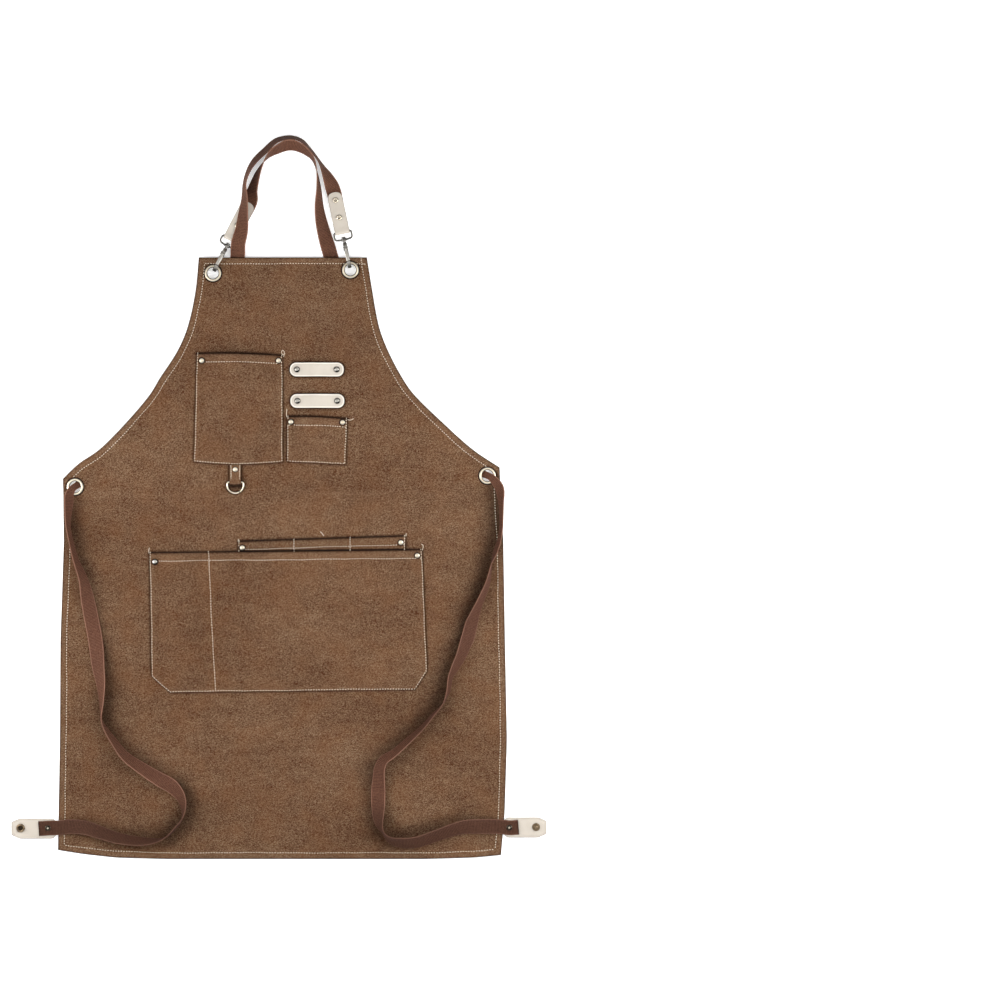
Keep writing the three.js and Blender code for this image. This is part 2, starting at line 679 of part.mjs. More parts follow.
function strapSolid(rows) {
  const planSpots = rows.map(([x, y]) => new THREE.Vector3(x, y, 0));
  const plan = new THREE.CatmullRomCurve3(planSpots, false, "centripetal");
  const spans = rows.length - 1;
  const marks = [];
  for (let span = 0; span < spans; span += 1) {
    const [from, to] = [rows[span], rows[span + 1]];
    const halved = Math.hypot(to[0] - from[0], to[1] - from[1]) > 16 && from[3] !== to[3];
    marks.push(span, ...(halved ? [span + 0.5] : []));
  }
  marks.push(spans);
  const steps = marks.length - 1;
  const sections = marks.map((mark) => {
    const span = Math.min(Math.floor(mark), spans - 1);
    const share = mark - span;
    const [rest, roll, width] = [2, 3, 4].map((column) => {
      const values = [rows[span], rows[span + 1]].map((row) => row[column] ?? frontHeight(row[1]));
      return THREE.MathUtils.lerp(values[0], values[1], share);
    });
    const thick = webThick * (webWidth / width) ** 0.7;
    const rise = width / 2 * Math.abs(Math.sin(roll * turn)) + thick / 2 * Math.abs(Math.cos(roll * turn));
    const centre = plan.getPoint(mark / spans);
    centre.z = rest + gap + rise;
    return { centre, roll: roll * turn, width, thick };
  });
  const spots = [];
  sections.forEach(({ centre, roll, width, thick }, at) => {
    const before = sections[Math.max(0, at - 1)].centre;
    const after = sections[Math.min(steps, at + 1)].centre;
    const heading = after.clone().sub(before).normalize();
    const leftHand = new THREE.Vector3(-heading.y, heading.x, 0).normalize();
    const upward = heading.clone().cross(leftHand);
    const across = leftHand.clone().multiplyScalar(Math.cos(roll)).addScaledVector(upward, Math.sin(roll));
    const face = heading.clone().cross(across);
    [[0.5, 0.5], [0.5, -0.5], [-0.5, -0.5], [-0.5, 0.5]].forEach(([side, depth]) => {
      const spot = centre.clone()
        .addScaledVector(across, side * width)
        .addScaledVector(face, depth * thick);
      spots.push(spot.x, spot.y, spot.z);
    });
  });
  const faces = [0, 1, 2, 0, 2, 3];
  for (let at = 0; at < steps; at += 1) {
    const [a, b, c, d] = [0, 1, 2, 3].map((corner) => 4 * at + corner);
    const [e, f, g, h] = [a, b, c, d].map((corner) => corner + 4);
    faces.push(a, f, b, a, e, f, d, c, g, d, g, h, b, f, g, b, g, c, a, d, h, a, h, e);
  }
  const last = 4 * steps;
  faces.push(last, last + 2, last + 1, last, last + 3, last + 2);
  const ribbon = new THREE.BufferGeometry();
  ribbon.setAttribute("position", new THREE.BufferAttribute(new Float32Array(spots), 3));
  ribbon.setIndex(faces);
  return toSolid(ribbon);
}

const snapTabs = {
  left: { from: -363, to: -302.7, y: -450, rivet: [-313.6, -449.3], snap: [-350.6, -449.3] },
  right: { from: 305.6, to: 363, y: -448.5, rivet: [312.8, -448.6], snap: [349, -448] },
};
const snapTabWidth = 27;
const snapTabCut = 5;

function addStrap(name, rows, tabSide, endSide) {
  let strap = strapSolid(rows);
  const holes = tabRivets.map((along) => {
    const { x, y } = tabPoint(tabSide, along);
    return [x, y];
  });
  holes.push(snapTabs[endSide].rivet);
  holes.forEach(([x, y]) => {
    strap = strap.subtract(peg(x, y, rivetHole, -5, 12, 8));
  });
  addPiece(name, strap, webbing);
}

addStrap("left_strap", leftStrapRows, "right", "left");
addStrap("right_strap", rightStrapRows, "left", "right");

// Snap tabs at the tie ends, lying on their rivets
const capFoot = 0.9;

Object.entries(snapTabs).forEach(([side, { from, to, y, rivet: [x, rivetY], snap }]) => {
  const [low, high] = [y - snapTabWidth / 2, y + snapTabWidth / 2];
  const octagon = [
    [from + snapTabCut, low], [to - snapTabCut, low], [to, low + snapTabCut], [to, high - snapTabCut],
    [to - snapTabCut, high], [from + snapTabCut, high], [from, high - snapTabCut], [from, low + snapTabCut],
  ].map((spot) => new THREE.Vector2(...spot));
  const tab = prism(octagon, snapTabTop - leather, snapTabTop)
    .subtract(peg(x, rivetY, rivetHole, -5, 40, 8))
    .subtract(peg(snap[0], snap[1], 2.4, -5, 40, 8));
  addPiece(`snap_tab_${side}`, tab, paleLeather);
  addRivet(`snap_tab_${side}_rivet`, x, rivetY, capFoot, snapTabTop + gap + webThick + gap);
});

const snapSeat = snapTabTop + gap;
const socket = turned([
  [0, 0.1], [4.6, 0.1], [5, capFoot], [2, capFoot], [2, snapSeat], [5.8, snapSeat], [5.8, snapSeat + 1.4],
  [4.8, snapSeat + 2.2], [3, snapSeat + 2.0], [2.6, snapSeat + 0.7], [0, snapSeat + 0.7],
], 12);
addPiece("snap_socket", socket.translate([...snapTabs.left.snap, 0]), darkBrass);
const stud = turned([
  [0, 0.1], [4.6, 0.1], [5, capFoot], [2, capFoot], [2, snapSeat], [5.4, snapSeat], [5.2, snapSeat + 0.8],
  [2, snapSeat + 0.9], [2.3, snapSeat + 2.4], [1.5, snapSeat + 3.2], [0, snapSeat + 3.3],
], 12);
addPiece("snap_stud", stud.translate([...snapTabs.right.snap, 0]), darkBrass);

// Blank label behind the right side
const labelCorners = [[272.5, -75], [292.5, -75], [292.5, -51.5], [272.5, -51.5]];
const label = labelCorners.map((spot) => new THREE.Vector2(...spot));
addPiece("label", prism(label, 0.6, hemDepth - gap), labelCloth);

export default group;
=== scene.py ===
import math

import bmesh
import bpy
import numpy as np
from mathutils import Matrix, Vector, geometry


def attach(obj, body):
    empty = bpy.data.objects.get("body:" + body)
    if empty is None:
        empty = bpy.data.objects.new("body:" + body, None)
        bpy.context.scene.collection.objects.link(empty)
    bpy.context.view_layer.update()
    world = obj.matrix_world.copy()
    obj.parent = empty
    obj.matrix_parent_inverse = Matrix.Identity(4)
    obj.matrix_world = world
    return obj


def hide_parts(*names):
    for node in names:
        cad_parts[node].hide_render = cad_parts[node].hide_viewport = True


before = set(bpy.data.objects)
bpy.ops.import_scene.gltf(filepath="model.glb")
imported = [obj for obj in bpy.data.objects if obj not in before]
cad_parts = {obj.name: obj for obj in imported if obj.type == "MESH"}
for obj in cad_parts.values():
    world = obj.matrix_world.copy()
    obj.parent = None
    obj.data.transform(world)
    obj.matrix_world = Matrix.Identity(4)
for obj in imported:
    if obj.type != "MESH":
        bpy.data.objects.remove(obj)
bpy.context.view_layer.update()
rng = np.random.default_rng(11)
mm = 0.001


# general shapes, all in millimetres

def smoothStep(x, low, high):
    t = np.clip((np.asarray(x, float) - low) / (high - low), 0, 1)
    return t * t * (3 - 2 * t)


def wave(x, y, size, seed):
    # crossed sines for the slow unevenness of cloth
    turn = 2 * math.pi / size
    first = np.sin(x * turn + seed) * np.cos(y * turn * 0.83 + 1.7 * seed)
    second = 0.6 * np.sin((x + y) * turn * 0.57 + 2.3 * seed)
    third = 0.4 * np.cos((x - 1.4 * y) * turn * 1.31 + seed)
    return (first + second + third) / 2


def rounded(distance, radius):
    # how far a rounded edge falls at this distance from it
    near = radius - np.clip(distance, 0, radius)
    return radius - np.sqrt(np.maximum(radius ** 2 - near ** 2, 0))


def groove(distance, at, depth, width):
    return depth * np.exp(-((distance - at) / width) ** 2)


def unit(rows):
    return rows / np.linalg.norm(rows, axis=1)[:, None]


def leftOf(ahead):
    return np.column_stack([-ahead[:, 1], ahead[:, 0]])


def turnAngles(count):
    return np.linspace(0, 2 * math.pi, count, endpoint=False)


def circleSection(radius, sides):
    angles = turnAngles(sides)
    return np.column_stack([radius * np.cos(angles), radius * np.sin(angles)])


def runLength(path):
    return np.concatenate([[0], np.cumsum(np.linalg.norm(np.diff(path, axis=0), axis=1))])


def atMarks(path, run, marks):
    return np.column_stack([np.interp(marks, run, column) for column in path.T])


def alongPath(path, step):
    # points at even steps of about this length
    path = np.asarray(path, float)
    run = runLength(path)
    return atMarks(path, run, np.linspace(0, run[-1], max(2, int(run[-1] / step) + 1)))


def throughSpline(points, perSpan):
    points = np.asarray(points, float)
    path = []
    for i in range(len(points) - 1):
        p0, p1, p2 = points[max(i - 1, 0)], points[i], points[i + 1]
        p3 = points[min(i + 2, len(points) - 1)]
        for t in np.linspace(0, 1, perSpan, endpoint=False):
            path.append(p1 + 0.5 * t * (p2 - p0) + t * t * (p0 - 2.5 * p1 + 2 * p2 - 0.5 * p3)
                        + t ** 3 * (1.5 * (p1 - p2) + 0.5 * (p3 - p0)))
    return np.array(path + [points[-1]])


def softened(corners, radius, steps=4):
    # polygon with its corners turned into short arcs
    corners = np.asarray(corners, float)
    path = []
    for i, spot in enumerate(corners):
        before, after = corners[i - 1] - spot, corners[(i + 1) % len(corners)] - spot
        room = min(radius, 0.45 * np.linalg.norm(before), 0.45 * np.linalg.norm(after))
        first = spot + before / np.linalg.norm(before) * room
        last = spot + after / np.linalg.norm(after) * room
        for t in np.linspace(0, 1, steps):
            path.append((1 - t) ** 2 * first + 2 * t * (1 - t) * spot + t ** 2 * last)
    return np.array(path)


def roundRect(width, height, radius, step=1.6):
    loop = []
    for cx, cy, start in ((1, -1, -90), (1, 1, 0), (-1, 1, 90), (-1, -1, 180)):
        for angle in np.radians(np.linspace(start, start + 90, 9)):
            loop.append((cx * (width / 2 - radius) + radius * math.cos(angle),
                         cy * (height / 2 - radius) + radius * math.sin(angle)))
    return alongPath(loop + loop[:1], step)[:-1]


def joined(shapes):
    verts, faces, start = [], [], 0
    for spots, sides in shapes:
        verts.append(np.asarray(spots, float))
        faces += [[int(i) + start for i in side] for side in sides]
        start += len(spots)
    return np.concatenate(verts), faces


def moved(shape, at=(0, 0, 0), turnZ=0.0, turnX=0.0):
    spots, faces = shape
    cz, sz, cx, sx = math.cos(turnZ), math.sin(turnZ), math.cos(turnX), math.sin(turnX)
    aboutX = np.array([[1, 0, 0], [0, cx, -sx], [0, sx, cx]])
    aboutZ = np.array([[cz, -sz, 0], [sz, cz, 0], [0, 0, 1]])
    return np.asarray(spots, float) @ aboutX.T @ aboutZ.T + np.asarray(at, float), faces


def gridSolid(top, low):
    rows, columns = top.shape[:2]
    count = rows * columns
    index = np.arange(count).reshape(rows, columns)
    corners = [index[:-1, :-1], index[:-1, 1:], index[1:, 1:], index[1:, :-1]]
    quads = np.stack(corners, -1).reshape(-1, 4)
    rim = np.concatenate([index[0], index[1:, -1], index[-1, -2::-1], index[-2:0:-1, 0]])
    after = np.roll(rim, -1)
    walls = np.stack([after, rim, rim + count, after + count], -1)
    spots = np.concatenate([top.reshape(-1, 3), low.reshape(-1, 3)])
    return spots, np.concatenate([quads, quads[:, ::-1] + count, walls]).tolist()


def foldedPly(line, across, thick):
    # a strip that follows a folded middle line in y and z, with x across it
    offset = thick[..., None] * leftOf(unit(np.gradient(line, axis=0)))[:, None, :]
    top, low = (np.concatenate([across[..., None], line[:, None, :] + side * offset], -1)
                for side in (1, -1))
    return gridSolid(top, low)


def ringFaces(rings, closed=False):
    # rings of equal size joined to a tube, capped at open ends
    count, sides = rings.shape[:2]
    index = np.arange(count * sides).reshape(count, sides)
    if closed:
        index = np.vstack([index, index[:1]])
    across = np.roll(index, -1, 1)
    quads = np.stack([index[:-1], across[:-1], across[1:], index[1:]], -1).reshape(-1, 4).tolist()
    if not closed:
        quads += [index[0][::-1].tolist(), index[-1].tolist()]
    return rings.reshape(-1, 3), quads


def sweep(path, section, closed=False):
    # for paths that lie nearly flat
    ahead = np.roll(path, -1, 0) - np.roll(path, 1, 0)
    if not closed:
        ahead[0] = path[1] - path[0]
        ahead[-1] = path[-1] - path[-2]
    ahead = unit(ahead)
    side = np.cross(ahead[0], (0, 0, 1))
    rings = []
    for spot, way in zip(path, ahead):
        side = side - way * side.dot(way)
        side /= np.linalg.norm(side)
        up = np.cross(side, way)
        rings.append(spot + section[:, :1] * side + section[:, 1:] * up)
    return ringFaces(np.array(rings), closed)


def lathe(profile, sides, closed=False):
    profile = np.asarray(profile, float)
    angles = turnAngles(sides)
    radius = np.maximum(profile[:, :1], 0.02)  # no ring closes to a point
    rings = np.stack([radius * np.cos(angles), radius * np.sin(angles),
                      np.repeat(profile[:, 1:], sides, 1)], -1)
    return ringFaces(rings, closed)


def barSolid(profile, width, bevel, at=0.0):
    # outline in y and z, spread along x with bevelled edges
    work = bmesh.new()
    ring = [work.verts.new((at - width / 2, y, z)) for y, z in profile]
    face = work.faces.new(ring)
    spread = bmesh.ops.extrude_face_region(work, geom=[face])
    far = [v for v in spread["geom"] if isinstance(v, bmesh.types.BMVert)]
    bmesh.ops.translate(work, verts=far, vec=(width, 0, 0))
    rims = [e for e in work.edges if abs(e.verts[0].co.x - e.verts[1].co.x) < 1e-6]
    bmesh.ops.bevel(work, geom=rims, offset=bevel, segments=3, profile=0.5, affect="EDGES")
    work.verts.index_update()
    spots = np.array([v.co[:] for v in work.verts])
    faces = [[v.index for v in f.verts] for f in work.faces]
    work.free()
    return spots, faces


def inChunks(points, measure, size=3000):
    # long lists of points are measured a part at a time
    return np.concatenate([measure(points[i:i + size]) for i in range(0, len(points), size)])


def edgeDistance(points, loop):
    spans = np.roll(loop, -1, 0) - loop
    lengths = (spans ** 2).sum(1)

    def nearest(part):
        offset = part[:, None, :] - loop
        t = np.clip((offset * spans).sum(2) / lengths, 0, 1)
        return np.sqrt(((offset - t[..., None] * spans) ** 2).sum(2)).min(1)
    return inChunks(points, nearest)


def insideLoop(points, loop):
    ends = np.roll(loop, -1, 0)
    rise = np.where(ends[:, 1] == loop[:, 1], 1e-9, ends[:, 1] - loop[:, 1])

    def inside(part):
        x, y = part[:, :1], part[:, 1:]
        crossing = (loop[:, 1] > y) != (ends[:, 1] > y)
        meets = x < (ends[:, 0] - loop[:, 0]) * (y - loop[:, 1]) / rise + loop[:, 0]
        return (crossing & meets).sum(1) % 2 == 1
    return inChunks(points, inside)


def insetRows(loop, distance):
    # the loop moved inwards, with a flag for the points that keep their distance at corners
    row = loop + distance * leftOf(unit(np.roll(loop, -1, 0) - np.roll(loop, 1, 0)))
    return row, edgeDistance(row, loop) > distance - 0.05


def trimmedPatch(loop, insets, spacing, holes=(), extra=()):
    # triangles that fill the loop, with rows of points that follow its edge
    points = [tuple(p) for p in loop]
    edges = [(i, (i + 1) % len(loop)) for i in range(len(loop))]
    for distance in insets:
        row, kept = insetRows(loop, distance)
        numbers = {}
        for i in np.flatnonzero(kept):
            numbers[i] = len(points)
            points.append(tuple(row[i]))
        edges += [(numbers[i], numbers[i + 1]) for i in numbers if i + 1 in numbers]
    for x, y, radius in holes:
        start, count = len(points), 36
        points += [(x + p, y + q) for p, q in circleSection(radius, count)]
        edges += [(start + i, start + (i + 1) % count) for i in range(count)]

    def clear(spots, share, room):
        keep = insideLoop(spots, loop)
        for x, y, radius in holes:
            keep &= np.hypot(spots[:, 0] - x, spots[:, 1] - y) > radius * share + room
        return keep

    low, high = loop.min(0), loop.max(0)
    inner = []
    for k, y in enumerate(np.arange(low[1], high[1], spacing * 0.866)):
        inner += [(x, y) for x in np.arange(low[0] + (k % 2) * spacing / 2, high[0], spacing)]
    inner = np.array(inner + [tuple(p) for p in extra])
    keep = clear(inner, 1.0, 0.3 * spacing) & (edgeDistance(inner, loop) > insets[-1] + 0.4 * spacing)
    points += [tuple(p) for p in inner[keep]]
    found = geometry.delaunay_2d_cdt(points, edges, [], 0, 1e-4)
    spots = np.array([p[:] for p in found[0]])
    triangles = np.array([list(f) for f in found[2]])
    return spots, triangles[clear(spots[triangles].mean(1), 0.98, 0.0)]


def patchSolid(points, triangles, top, low):
    count = len(points)
    sides = np.concatenate([triangles[:, [0, 1]], triangles[:, [1, 2]], triangles[:, [2, 0]]])
    known = set(map(tuple, sides.tolist()))
    walls = [[j, i, i + count, j + count] for i, j in sides.tolist() if (j, i) not in known]
    spots = np.concatenate([np.column_stack([points, top]), np.column_stack([points, low])])
    return spots, triangles.tolist() + (triangles[:, ::-1] + count).tolist() + walls


# one stitch: thickness and depth at shares of its length
stitchLook = {"pitch": 3.6, "length": 2.35, "radius": 0.57, "rise": 0.16, "sides": 6,
              "shares": np.array([0.0, 0.14, 0.5, 0.86, 1.0]),
              "sizes": np.array([0.45, 0.9, 1.0, 0.9, 0.45]),
              "sinks": np.array([0.42, 0.12, 0.0, 0.12, 0.42])}


def stitches(path, pitch=stitchLook["pitch"], length=stitchLook["length"], radius=stitchLook["radius"],
             up=1, avoid=()):
    # short bowed threads laid end to end along a path
    path = np.asarray(path, float)
    run = runLength(path)
    middles = np.arange(pitch / 2, run[-1], pitch)
    middles = middles + rng.normal(0, 0.08, len(middles))
    fromMiddle = stitchLook["shares"] - 0.5
    sizes = stitchLook["sizes"] * radius
    angles = turnAngles(stitchLook["sides"])
    shapes, phase = [], rng.uniform(0, 6, 2)
    for middle in middles:
        spots = atMarks(path, run, middle + fromMiddle * length)
        if any(math.hypot(spots[2, 0] - x, spots[2, 1] - y) < r for x, y, r in avoid):
            continue
        way = spots[-1] - spots[0]
        side = np.array([-way[1], way[0], 0]) / max(math.hypot(way[0], way[1]), 1e-6)
        drift = 0.3 * math.sin(middle / 27 + phase[0]) + 0.2 * math.sin(middle / 9 + phase[1])
        spots = spots + side * (drift + rng.normal(0, 0.09))
        spots = spots + np.outer(fromMiddle, side) * rng.normal(0, 0.25)
        spots[:, 2] += up * (stitchLook["rise"] - stitchLook["sinks"])
        ring = np.cos(angles)[:, None] * side + np.sin(angles)[:, None] * np.array([0, 0, up])
        shapes.append(ringFaces(spots[:, None, :] + sizes[:, None, None] * ring))
    return joined(shapes)


def newObject(name, data):
    made = bpy.data.objects.new(name, data)
    bpy.context.scene.collection.objects.link(made)
    return made


def makePiece(name, shape, material, stands=(), body="apron", sharp=None, marks=None,
              runs=None, tarnishAndSideShade=False):
    spots, faces = shape
    mesh = bpy.data.meshes.new(name)
    mesh.from_pydata((np.asarray(spots, float) * mm).tolist(), [], [[int(i) for i in f] for f in faces])
    work = bmesh.new()
    work.from_mesh(mesh)
    bmesh.ops.recalc_face_normals(work, faces=work.faces)
    work.to_mesh(mesh)
    work.free()
    mesh.shade_smooth()
    if sharp:
        mesh.set_sharp_from_angle(angle=math.radians(sharp))
    if tarnishAndSideShade:  # painted shade where a metal piece turns away from its top
        normals = np.empty(len(mesh.vertices) * 3, np.float32)
        mesh.vertices.foreach_get("normal", normals)
        turned = 1 - smoothStep(np.abs(normals[2::3]), 0.4, 0.97)
        marks = {"edge": np.maximum(turned, marks["edge"] if marks else 0)}
    for label, values in (marks or {}).items():
        layer = mesh.attributes.new(label, "FLOAT", "POINT")
        layer.data.foreach_set("value", np.asarray(values, np.float32))
    if runs is not None:
        layer = mesh.uv_layers.new(name="run")
        corners = np.empty(len(mesh.loops), np.int32)
        mesh.loops.foreach_get("vertex_index", corners)
        layer.data.foreach_set("uv", np.asarray(runs, np.float32)[corners].ravel())
    mesh.materials.append(material)
    piece = newObject(name, mesh)
    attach(piece, body)
    if stands:
        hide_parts(*stands)
    return piece


# materials

def tone(red, green, blue):
    # screen colour, 0 to 255, as linear light
    return tuple((c / 255 / 12.92) if c < 10 else ((c / 255 + 0.055) / 1.055) ** 2.4
                 for c in (red, green, blue)) + (1.0,)


def addNode(tree, kind, inputs=None, **settings):
    made = tree.nodes.new(kind)
    for key, value in settings.items():
        setattr(made, key, value)
    for key, value in (inputs or {}).items():
        if isinstance(value, bpy.types.NodeSocket):
            tree.links.new(value, made.inputs[key])
        else:
            made.inputs[key].default_value = value
    return made


def calc(tree, operation, a, b=0.0, c=0.0, clamp=False):
    inputs = {0: a, 1: b, 2: c}
    return addNode(tree, "ShaderNodeMath", inputs, operation=operation, use_clamp=clamp).outputs[0]


def mixColour(tree, share, a, b):
    return addNode(tree, "ShaderNodeMix", {0: share, 6: a, 7: b}, data_type="RGBA").outputs[2]


def mixMark(tree, base, mark, colour, amount=1.0):
    # a colour where the mesh carries this mark
    share = addNode(tree, "ShaderNodeAttribute", attribute_name=mark).outputs["Fac"]
    return mixColour(tree, calc(tree, "MULTIPLY", share, amount), base, colour)


def objectPlace(tree, stretch=None):
    place = addNode(tree, "ShaderNodeTexCoord").outputs["Object"]
    if stretch:
        place = addNode(tree, "ShaderNodeMapping", {"Vector": place, "Scale": stretch}).outputs[0]
    return place


def noiseValue(tree, place, scale, detail=3.0, rough=0.55):
    settings = {"Vector": place, "Scale": scale, "Detail": detail, "Roughness": rough}
    return addNode(tree, "ShaderNodeTexNoise", settings).outputs[0]


def centred(tree, value, middle=0.5):
    return calc(tree, "SUBTRACT", value, middle)


def newGroup(name, inputs, outputs):
    tree = bpy.data.node_groups.new(name, "ShaderNodeTree")
    for label, value in inputs.items():
        socket = tree.interface.new_socket(label, in_out="INPUT", socket_type="NodeSocketFloat")
        socket.default_value = value
    for label in outputs:
        tree.interface.new_socket(label, in_out="OUTPUT", socket_type="NodeSocketFloat")
    return tree, tree.nodes.new("NodeGroupInput").outputs, tree.nodes.new("NodeGroupOutput").inputs


def weaveGroup():
    # plain weave height and uneven threads
    tree, given, result = newGroup("canvasWeave", {"Pitch": 0.0009}, ["Height", "Slub"])
    place = objectPlace(tree)
    wobble = noiseValue(tree, place, 90.0, 2.0)
    axes = addNode(tree, "ShaderNodeSeparateXYZ", {0: place}).outputs
    turns = calc(tree, "DIVIDE", 2 * math.pi, given["Pitch"])
    warp = calc(tree, "SINE", calc(tree, "MULTIPLY_ADD", axes[0], turns, wobble))
    weft = calc(tree, "SINE", calc(tree, "MULTIPLY_ADD", axes[1], turns, wobble))
    drawn = objectPlace(tree, (0.8, 1.1, 1.0))
    cells = addNode(tree, "ShaderNodeTexVoronoi", {"Vector": drawn, "Scale": 1300.0}).outputs["Color"]
    slub = addNode(tree, "ShaderNodeSeparateColor", {0: cells}).outputs[0]
    checks = calc(tree, "MULTIPLY", warp, weft)
    tree.links.new(calc(tree, "MULTIPLY_ADD", checks, 0.3, slub), result["Height"])
    tree.links.new(slub, result["Slub"])
    return tree


def washGroup():
    # uneven wash, from broad patches to small flecks
    tree, given, result = newGroup("washedCloth", {"Broad": 0.4, "Fine": 0.6}, ["Tone", "Warmth"])
    place, drawn = objectPlace(tree), objectPlace(tree, (0.55, 1.2, 1.0))
    broad = centred(tree, noiseValue(tree, drawn, 9.0, 2.0, 0.5))
    middle = centred(tree, noiseValue(tree, drawn, 70.0, 3.0))
    fine = centred(tree, noiseValue(tree, place, 760.0, 1.0, 0.6))
    total = calc(tree, "MULTIPLY_ADD", broad, given["Broad"], 0.5)
    total = calc(tree, "MULTIPLY_ADD", middle, calc(tree, "MULTIPLY", given["Broad"], 0.75), total)
    total = calc(tree, "MULTIPLY_ADD", fine, given["Fine"], total, clamp=True)
    tree.links.new(total, result["Tone"])
    patches = centred(tree, noiseValue(tree, place, 26.0, 2.0, 0.5), 0.42)
    tree.links.new(calc(tree, "MULTIPLY", patches, 4.0, clamp=True), result["Warmth"])
    return tree


def ribGroup():
    # cross ribs of webbing from its run, with the edges as a mask for the selvedge and its painted highlight
    tree, given, result = newGroup("webbingRibs", {"Pitch": 0.0019}, ["Height", "SelvedgeAndHighlight", "Fuzz"])
    run = addNode(tree, "ShaderNodeUVMap", uv_map="run").outputs[0]
    axes = addNode(tree, "ShaderNodeSeparateXYZ", {0: run}).outputs
    turns = calc(tree, "DIVIDE", 2 * math.pi, given["Pitch"])
    slant = calc(tree, "MULTIPLY_ADD", axes[1], 5.0, calc(tree, "MULTIPLY", axes[0], turns))
    cords = calc(tree, "SINE", calc(tree, "MULTIPLY", axes[1], 75.0))
    height = calc(tree, "MULTIPLY_ADD", calc(tree, "SINE", slant), 0.25, 0.5)
    height = calc(tree, "MULTIPLY_ADD", cords, 0.12, height)
    tree.links.new(height, result["Height"])
    edge = calc(tree, "ABSOLUTE", axes[1])
    tree.links.new(calc(tree, "GREATER_THAN", edge, 0.44), result["SelvedgeAndHighlight"])
    tree.links.new(noiseValue(tree, objectPlace(tree), 760.0, 2.0, 0.65), result["Fuzz"])
    return tree


def grainGroup():
    # pebbled leather grain and cloudy tanning
    tree, given, result = newGroup("leatherGrain", {"Scale": 700.0}, ["Height", "Cloud"])
    place = objectPlace(tree)
    cells = addNode(tree, "ShaderNodeTexVoronoi", {"Vector": place, "Scale": given["Scale"]})
    fine = noiseValue(tree, place, 900.0, 3.0)
    height = calc(tree, "MULTIPLY_ADD", cells.outputs["Distance"], -0.6, fine)
    tree.links.new(height, result["Height"])
    tree.links.new(noiseValue(tree, place, 55.0, 4.0), result["Cloud"])
    return tree


def metalGroup():
    # handling marks and tarnish
    tree, given, result = newGroup("handledMetal", {"Scale": 240.0}, ["Tarnish", "Scratch"])
    tree.links.new(noiseValue(tree, objectPlace(tree), given["Scale"], 4.0), result["Tarnish"])
    stretched = objectPlace(tree, (2600.0, 300.0, 900.0))
    tree.links.new(noiseValue(tree, stretched, 1.0, 2.0), result["Scratch"])
    return tree


groups = {"weave": weaveGroup(), "wash": washGroup(), "ribs": ribGroup(), "grain": grainGroup(),
          "metal": metalGroup()}


def newMaterial(name, roughness, metallic=0.0):
    material = bpy.data.materials.new(name)
    material.use_nodes = True
    tree = material.node_tree
    shader = tree.nodes["Principled BSDF"]
    shader.inputs["Roughness"].default_value = roughness
    shader.inputs["Metallic"].default_value = metallic
    shader.inputs["Specular IOR Level"].default_value = 0.5 if metallic else 0.12
    return material, tree, shader


def useGroup(tree, name, **values):
    return addNode(tree, "ShaderNodeGroup", values, node_tree=groups[name]).outputs


def dress(tree, shader, base, height, distance):
    tree.links.new(base, shader.inputs["Base Color"])
    made = addNode(tree, "ShaderNodeBump", {"Height": height, "Distance": distance, "Strength": 1.0})
    tree.links.new(made.outputs[0], shader.inputs["Normal"])


def clothMaterial(name, look):
    material, tree, shader = newMaterial(name, look["roughness"])
    wash = useGroup(tree, "wash", Broad=look["broad"], Fine=look["fine"])
    weave = useGroup(tree, "weave", Pitch=look["pitch"])
    uneven = centred(tree, weave["Slub"])
    share = calc(tree, "MULTIPLY_ADD", uneven, look["slub"], wash["Tone"], clamp=True)
    share = calc(tree, "POWER", share, look.get("curve", 1.0))
    base = mixColour(tree, share, look["dark"], look["light"])
    if "worn" in look:  # cloth that carries marks
        base = mixColour(tree, calc(tree, "MULTIPLY", wash["Warmth"], look["warmth"]), base, look["warm"])
        base = mixMark(tree, base, "fade", look["worn"], 0.5)
        # painted shade, and darker folded edges, where the mesh carries the edge mark
        base = mixMark(tree, base, "edge", look["fold"])
    dress(tree, shader, base, weave["Height"], look["bump"])
    return material


def webbingMaterial(name, look):
    material, tree, shader = newMaterial(name, look["roughness"])
    ribs = useGroup(tree, "ribs", Pitch=look["pitch"])
    fuzz = centred(tree, ribs["Fuzz"])
    share = calc(tree, "MULTIPLY_ADD", fuzz, look["fuzz"], ribs["Height"], clamp=True)
    base = mixColour(tree, share, look["dark"], look["light"])
    # lighter edges: the selvedge, with painted highlight
    base = mixColour(tree, calc(tree, "MULTIPLY", ribs["SelvedgeAndHighlight"], 0.6), base, look["selvedgeAndHighlight"])
    # darker cut ends, and painted shade along stretches of the strap
    base = mixMark(tree, base, "edge", look["cut"])
    dress(tree, shader, base, ribs["Height"], look["bump"])
    return material


def leatherMaterial(name, look):
    material, tree, shader = newMaterial(name, look["roughness"])
    grain = useGroup(tree, "grain", Scale=look["scale"])
    base = mixColour(tree, grain["Cloud"], look["dark"], look["light"])
    base = mixMark(tree, base, "fade", look["pale"])
    # darker cut edges, with painted shade round the rivets
    base = mixMark(tree, base, "edge", look["cut"], look["rim"])
    dress(tree, shader, base, grain["Height"], look["bump"])
    return material


def metalMaterial(name, look):
    material, tree, shader = newMaterial(name, look["roughness"], 1.0)
    worn = useGroup(tree, "metal", Scale=look["scale"])
    share = calc(tree, "MULTIPLY_ADD", centred(tree, worn["Tarnish"]), look["tarnishAndSideShade"], 0.3, clamp=True)
    base = mixColour(tree, share, look["light"], look["dark"])
    # painted shade where the mesh carries the edge mark: dark rims and sides, metal inside the eyelets, and a
    # darker swivel wire
    base = mixMark(tree, base, "edge", look["rim"])
    tree.links.new(base, shader.inputs["Base Color"])
    rough = calc(tree, "MULTIPLY_ADD", worn["Scratch"], 0.18, look["roughness"])
    tree.links.new(rough, shader.inputs["Roughness"])
    return material
